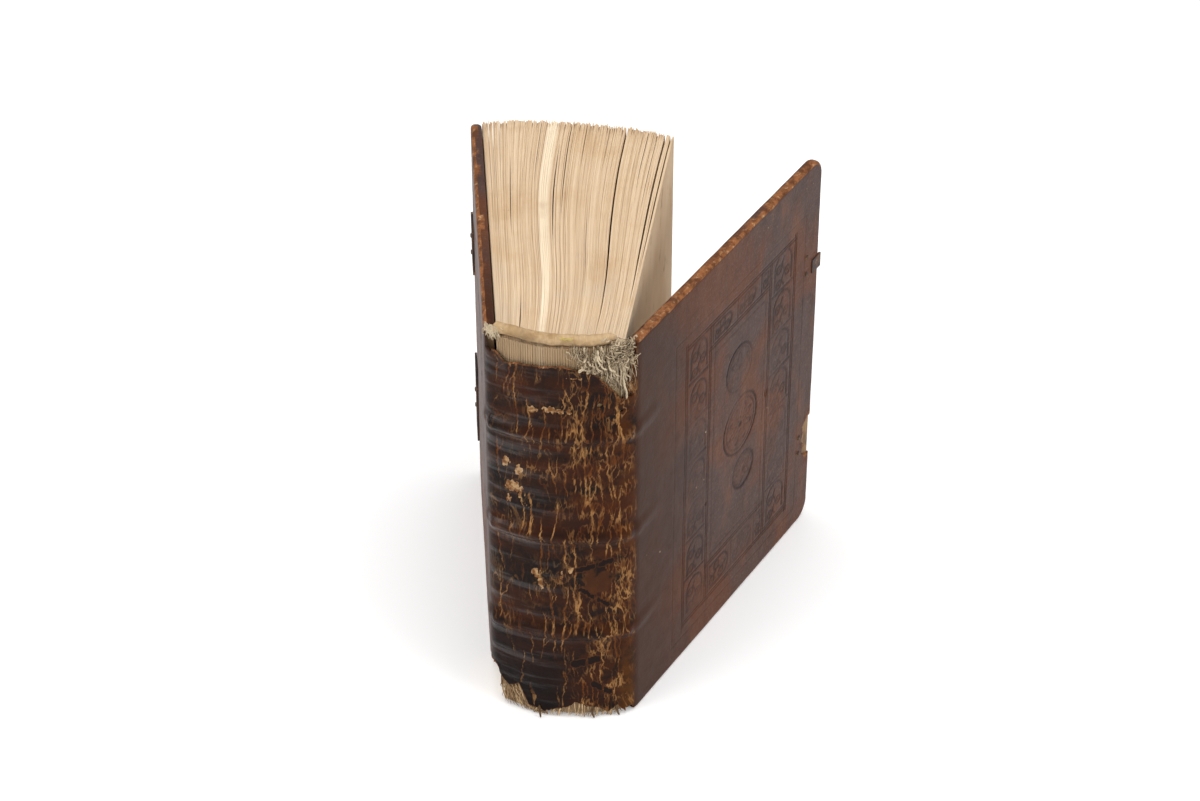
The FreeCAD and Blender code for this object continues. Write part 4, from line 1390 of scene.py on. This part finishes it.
def makeTailFringe(material):
    rng = random.Random(33)
    form = bmesh.new()
    layers = vertLayers(form, "strand", "shade")

    def thread(points, radius, paleness, dark=0.0):
        addThread(form, layers, points, radius, 0.4, (paleness, 0.0, dark))

    for index in range(210):
        run = -29 + 19 * rng.random()
        level = tailEdge(run) + rng.uniform(-2.5, 1.0)
        fall = min(rng.uniform(0.35, 1.1), 1.0) * (level - 0.4)
        points = threadPoints(rng, run, level, rng.uniform(0.2, 1.1), 10, fall,
                              rng.uniform(0, 5), 0.6, 0.35)
        thread(points, rng.uniform(0.10, 0.28), rng.uniform(0, 0.9))
    for index in range(60):  # loose threads and scraps along the rest of the torn tail
        run = rng.uniform(-12, 26)
        level = tailEdge(run) + 0.6
        points = threadPoints(rng, run, level, rng.uniform(0.3, 1.6), 7, level - 0.4,
                              rng.uniform(-2, 2), 0.5, 0.35)
        thread(points, rng.uniform(0.12, 0.4), rng.uniform(0.2, 1))
    for run, reach in ((-9.5, 4.6), (13.5, 2.6), (24.5, 2.8)):  # dark points of torn leather
        top = aroundSpine(run, 6, 2.0)
        tip = aroundSpine(run + 1.5, 0.6, reach)
        points = []
        for step in range(8):
            point = top.lerp(tip, step / 7)
            point.z = max(point.z - 1.2 * math.sin(math.pi * step / 7), 0.5)
            points.append(point)
        thread(points, 0.6, 0.1, 0.6)
    closeTubes(form)
    finishMesh("tail_threads", form, material, "block", ["tail_fringe"])


def headbandFinish():
    finish = Finish("headband")
    spot = finish.spot()
    values = {"Vector": finish.attribute("strand"), "Scale": 0.6, "Distortion": 1.2, "Detail": 2}
    winding = finish.add("ShaderNodeTexWave", {"wave_type": "BANDS", "bands_direction": "X"}, values)
    patchy = finish.noise(spot, 160, 4, 0.6)
    dirt = finish.noise(spot, 60, 4, 0.6)
    colour = finish.coats(
        tone(200, 172, 134),
        (patchy.between(0.35, 0.65), tone(168, 138, 98)),
        (winding.between(0.2, 0.8) * 0.35, tone(150, 118, 80)),
        (dirt.between(0.45, 0.65) * 0.6, tone(134, 108, 78)))
    normal = finish.bump(winding * 0.6 + finish.noise(spot, 900, 3) * 0.6, 0.5, 0.0003)
    return finish.surface(colour, 0.8, normal, Specular_IOR_Level=0.25)


def threadFinish(name, dark, pale):
    finish = Finish(name)
    paleness, yellow, torn = finish.parts(finish.attribute("shade", "Color"))
    spot = finish.spot()
    fleck = finish.noise(spot, 420, 4, 0.6)
    colour = finish.mix((paleness * 0.85 + fleck * 0.9 - 0.42).clamped(), dark, pale)
    colour = finish.mix(yellow, colour, tone(198, 178, 104))
    if name == "tailThreads":
        colour = finish.mix(torn, colour, tone(48, 34, 28))
    normal = finish.bump(finish.noise(finish.attribute("strand"), 5, 3), 0.4, 0.0002)
    return finish.surface(colour, 0.88, normal, Specular_IOR_Level=0.2)


makeHeadband(headbandFinish())
makeHeadFringe(threadFinish("headThreads", tone(92, 68, 44), tone(212, 194, 164)))
makeTailFringe(threadFinish("tailThreads", tone(112, 82, 54), tone(214, 184, 142)))
print("headband and threads made")


# Finishes of the pieces that stay as they come with the frame

def woodFinish():
    finish = Finish("boardWood")
    spot = finish.spot()
    along = finish.stretched(spot, (1, 1, 0.08))
    grain = finish.noise(along, 260, 5, 0.6, 0.6)
    broad = finish.noise(along, 60, 3, 0.5)
    dirt = finish.noise(spot, 90, 4, 0.6)
    colour = finish.coats(
        tone(122, 92, 62),
        (grain.between(0.35, 0.65), tone(158, 126, 90)),
        (broad.between(0.45, 0.65) * 0.6, tone(104, 82, 62)),
        (dirt.between(0.55, 0.7) * 0.6, tone(74, 58, 46)))
    normal = finish.bump(grain, 0.4, 0.0004)
    return finish.surface(colour, 0.75, normal, Specular_IOR_Level=0.3)


def pasteFinish():
    finish = Finish("pastedPaper")
    spot = finish.spot()
    cloud = finish.noise(spot, 18, 5, 0.6)
    foxing = 1 - finish.cells(spot, 70).between(0.08, 0.24)
    wormed = finish.noise(spot, 300, 4, 0.6)
    colour = finish.coats(
        tone(222, 202, 168),
        (cloud.between(0.35, 0.7), tone(196, 168, 128)),
        (foxing * cloud.between(0.45, 0.6) * 0.5, tone(150, 106, 66)),
        (wormed.between(0.6, 0.75) * 0.35, tone(170, 140, 104)))
    normal = finish.bump(finish.noise(spot, 700, 4, 0.6) + cloud * 2, 0.3, 0.0004)
    return finish.surface(colour, 0.86, normal, Specular_IOR_Level=0.2)


def cordFinish(name, dark, pale, scale):
    finish = Finish(name)
    spot = finish.spot()
    lay = finish.add("ShaderNodeTexWave", {"wave_type": "BANDS", "bands_direction": "DIAGONAL"},
                     {"Vector": spot, "Scale": scale, "Distortion": 3, "Detail": 3})
    patchy = finish.noise(spot, 150, 4, 0.6)
    colour = finish.mix((lay * 0.5 + patchy * 0.8 - 0.2).clamped(), dark, pale)
    normal = finish.bump(lay + patchy, 0.5, 0.0004)
    return finish.surface(colour, 0.85, normal, Specular_IOR_Level=0.2)


def strapFinish():
    finish = Finish("strapLeather")
    spot = finish.spot()
    patchy = finish.noise(spot, 110, 5, 0.65)
    colour = finish.mix(patchy.between(0.4, 0.65), tone(44, 33, 30), tone(84, 56, 40))
    bare = finish.noise(spot, 240, 4, 0.7)
    colour = finish.mix(bare.between(0.58, 0.7) * 0.7, colour, tone(150, 116, 80))
    normal = finish.bump(finish.cells(spot, 1100) + bare, 0.4, 0.0003)
    return finish.surface(colour, 0.62, normal, Specular_IOR_Level=0.35)


def nailFinish():
    finish = Finish("nailMetal")
    spot = finish.spot()
    rust = finish.noise(spot, 900, 4, 0.7)
    rusted = rust.between(0.34, 0.54)
    colour = finish.mix(rusted, tone(118, 92, 60), tone(64, 45, 34))
    normal = finish.bump(rust, 0.4, 0.0002)
    return finish.surface(colour, 0.42 + rusted * 0.4, normal, Metallic=1 - rusted * 0.8)


def dressNodes():
    finishes = {  # part of a node's name, and its finish
        "_board": woodFinish(),
        "pastedown": pasteFinish(),
        "cord": cordFinish("hempCord", tone(120, 94, 64), tone(206, 180, 138), 420),
        "linings": cordFinish("vellumLining", tone(140, 112, 76), tone(180, 154, 114), 40),
        "strap": strapFinish(),
        "nails": nailFinish(),
    }
    for name, node in frame["nodes"].items():
        for word, material in finishes.items():
            if word in name:
                node.data.materials.clear()
                node.data.materials.append(material)
                break


dressNodes()
print("other pieces dressed")

bpy.context.view_layer.update()
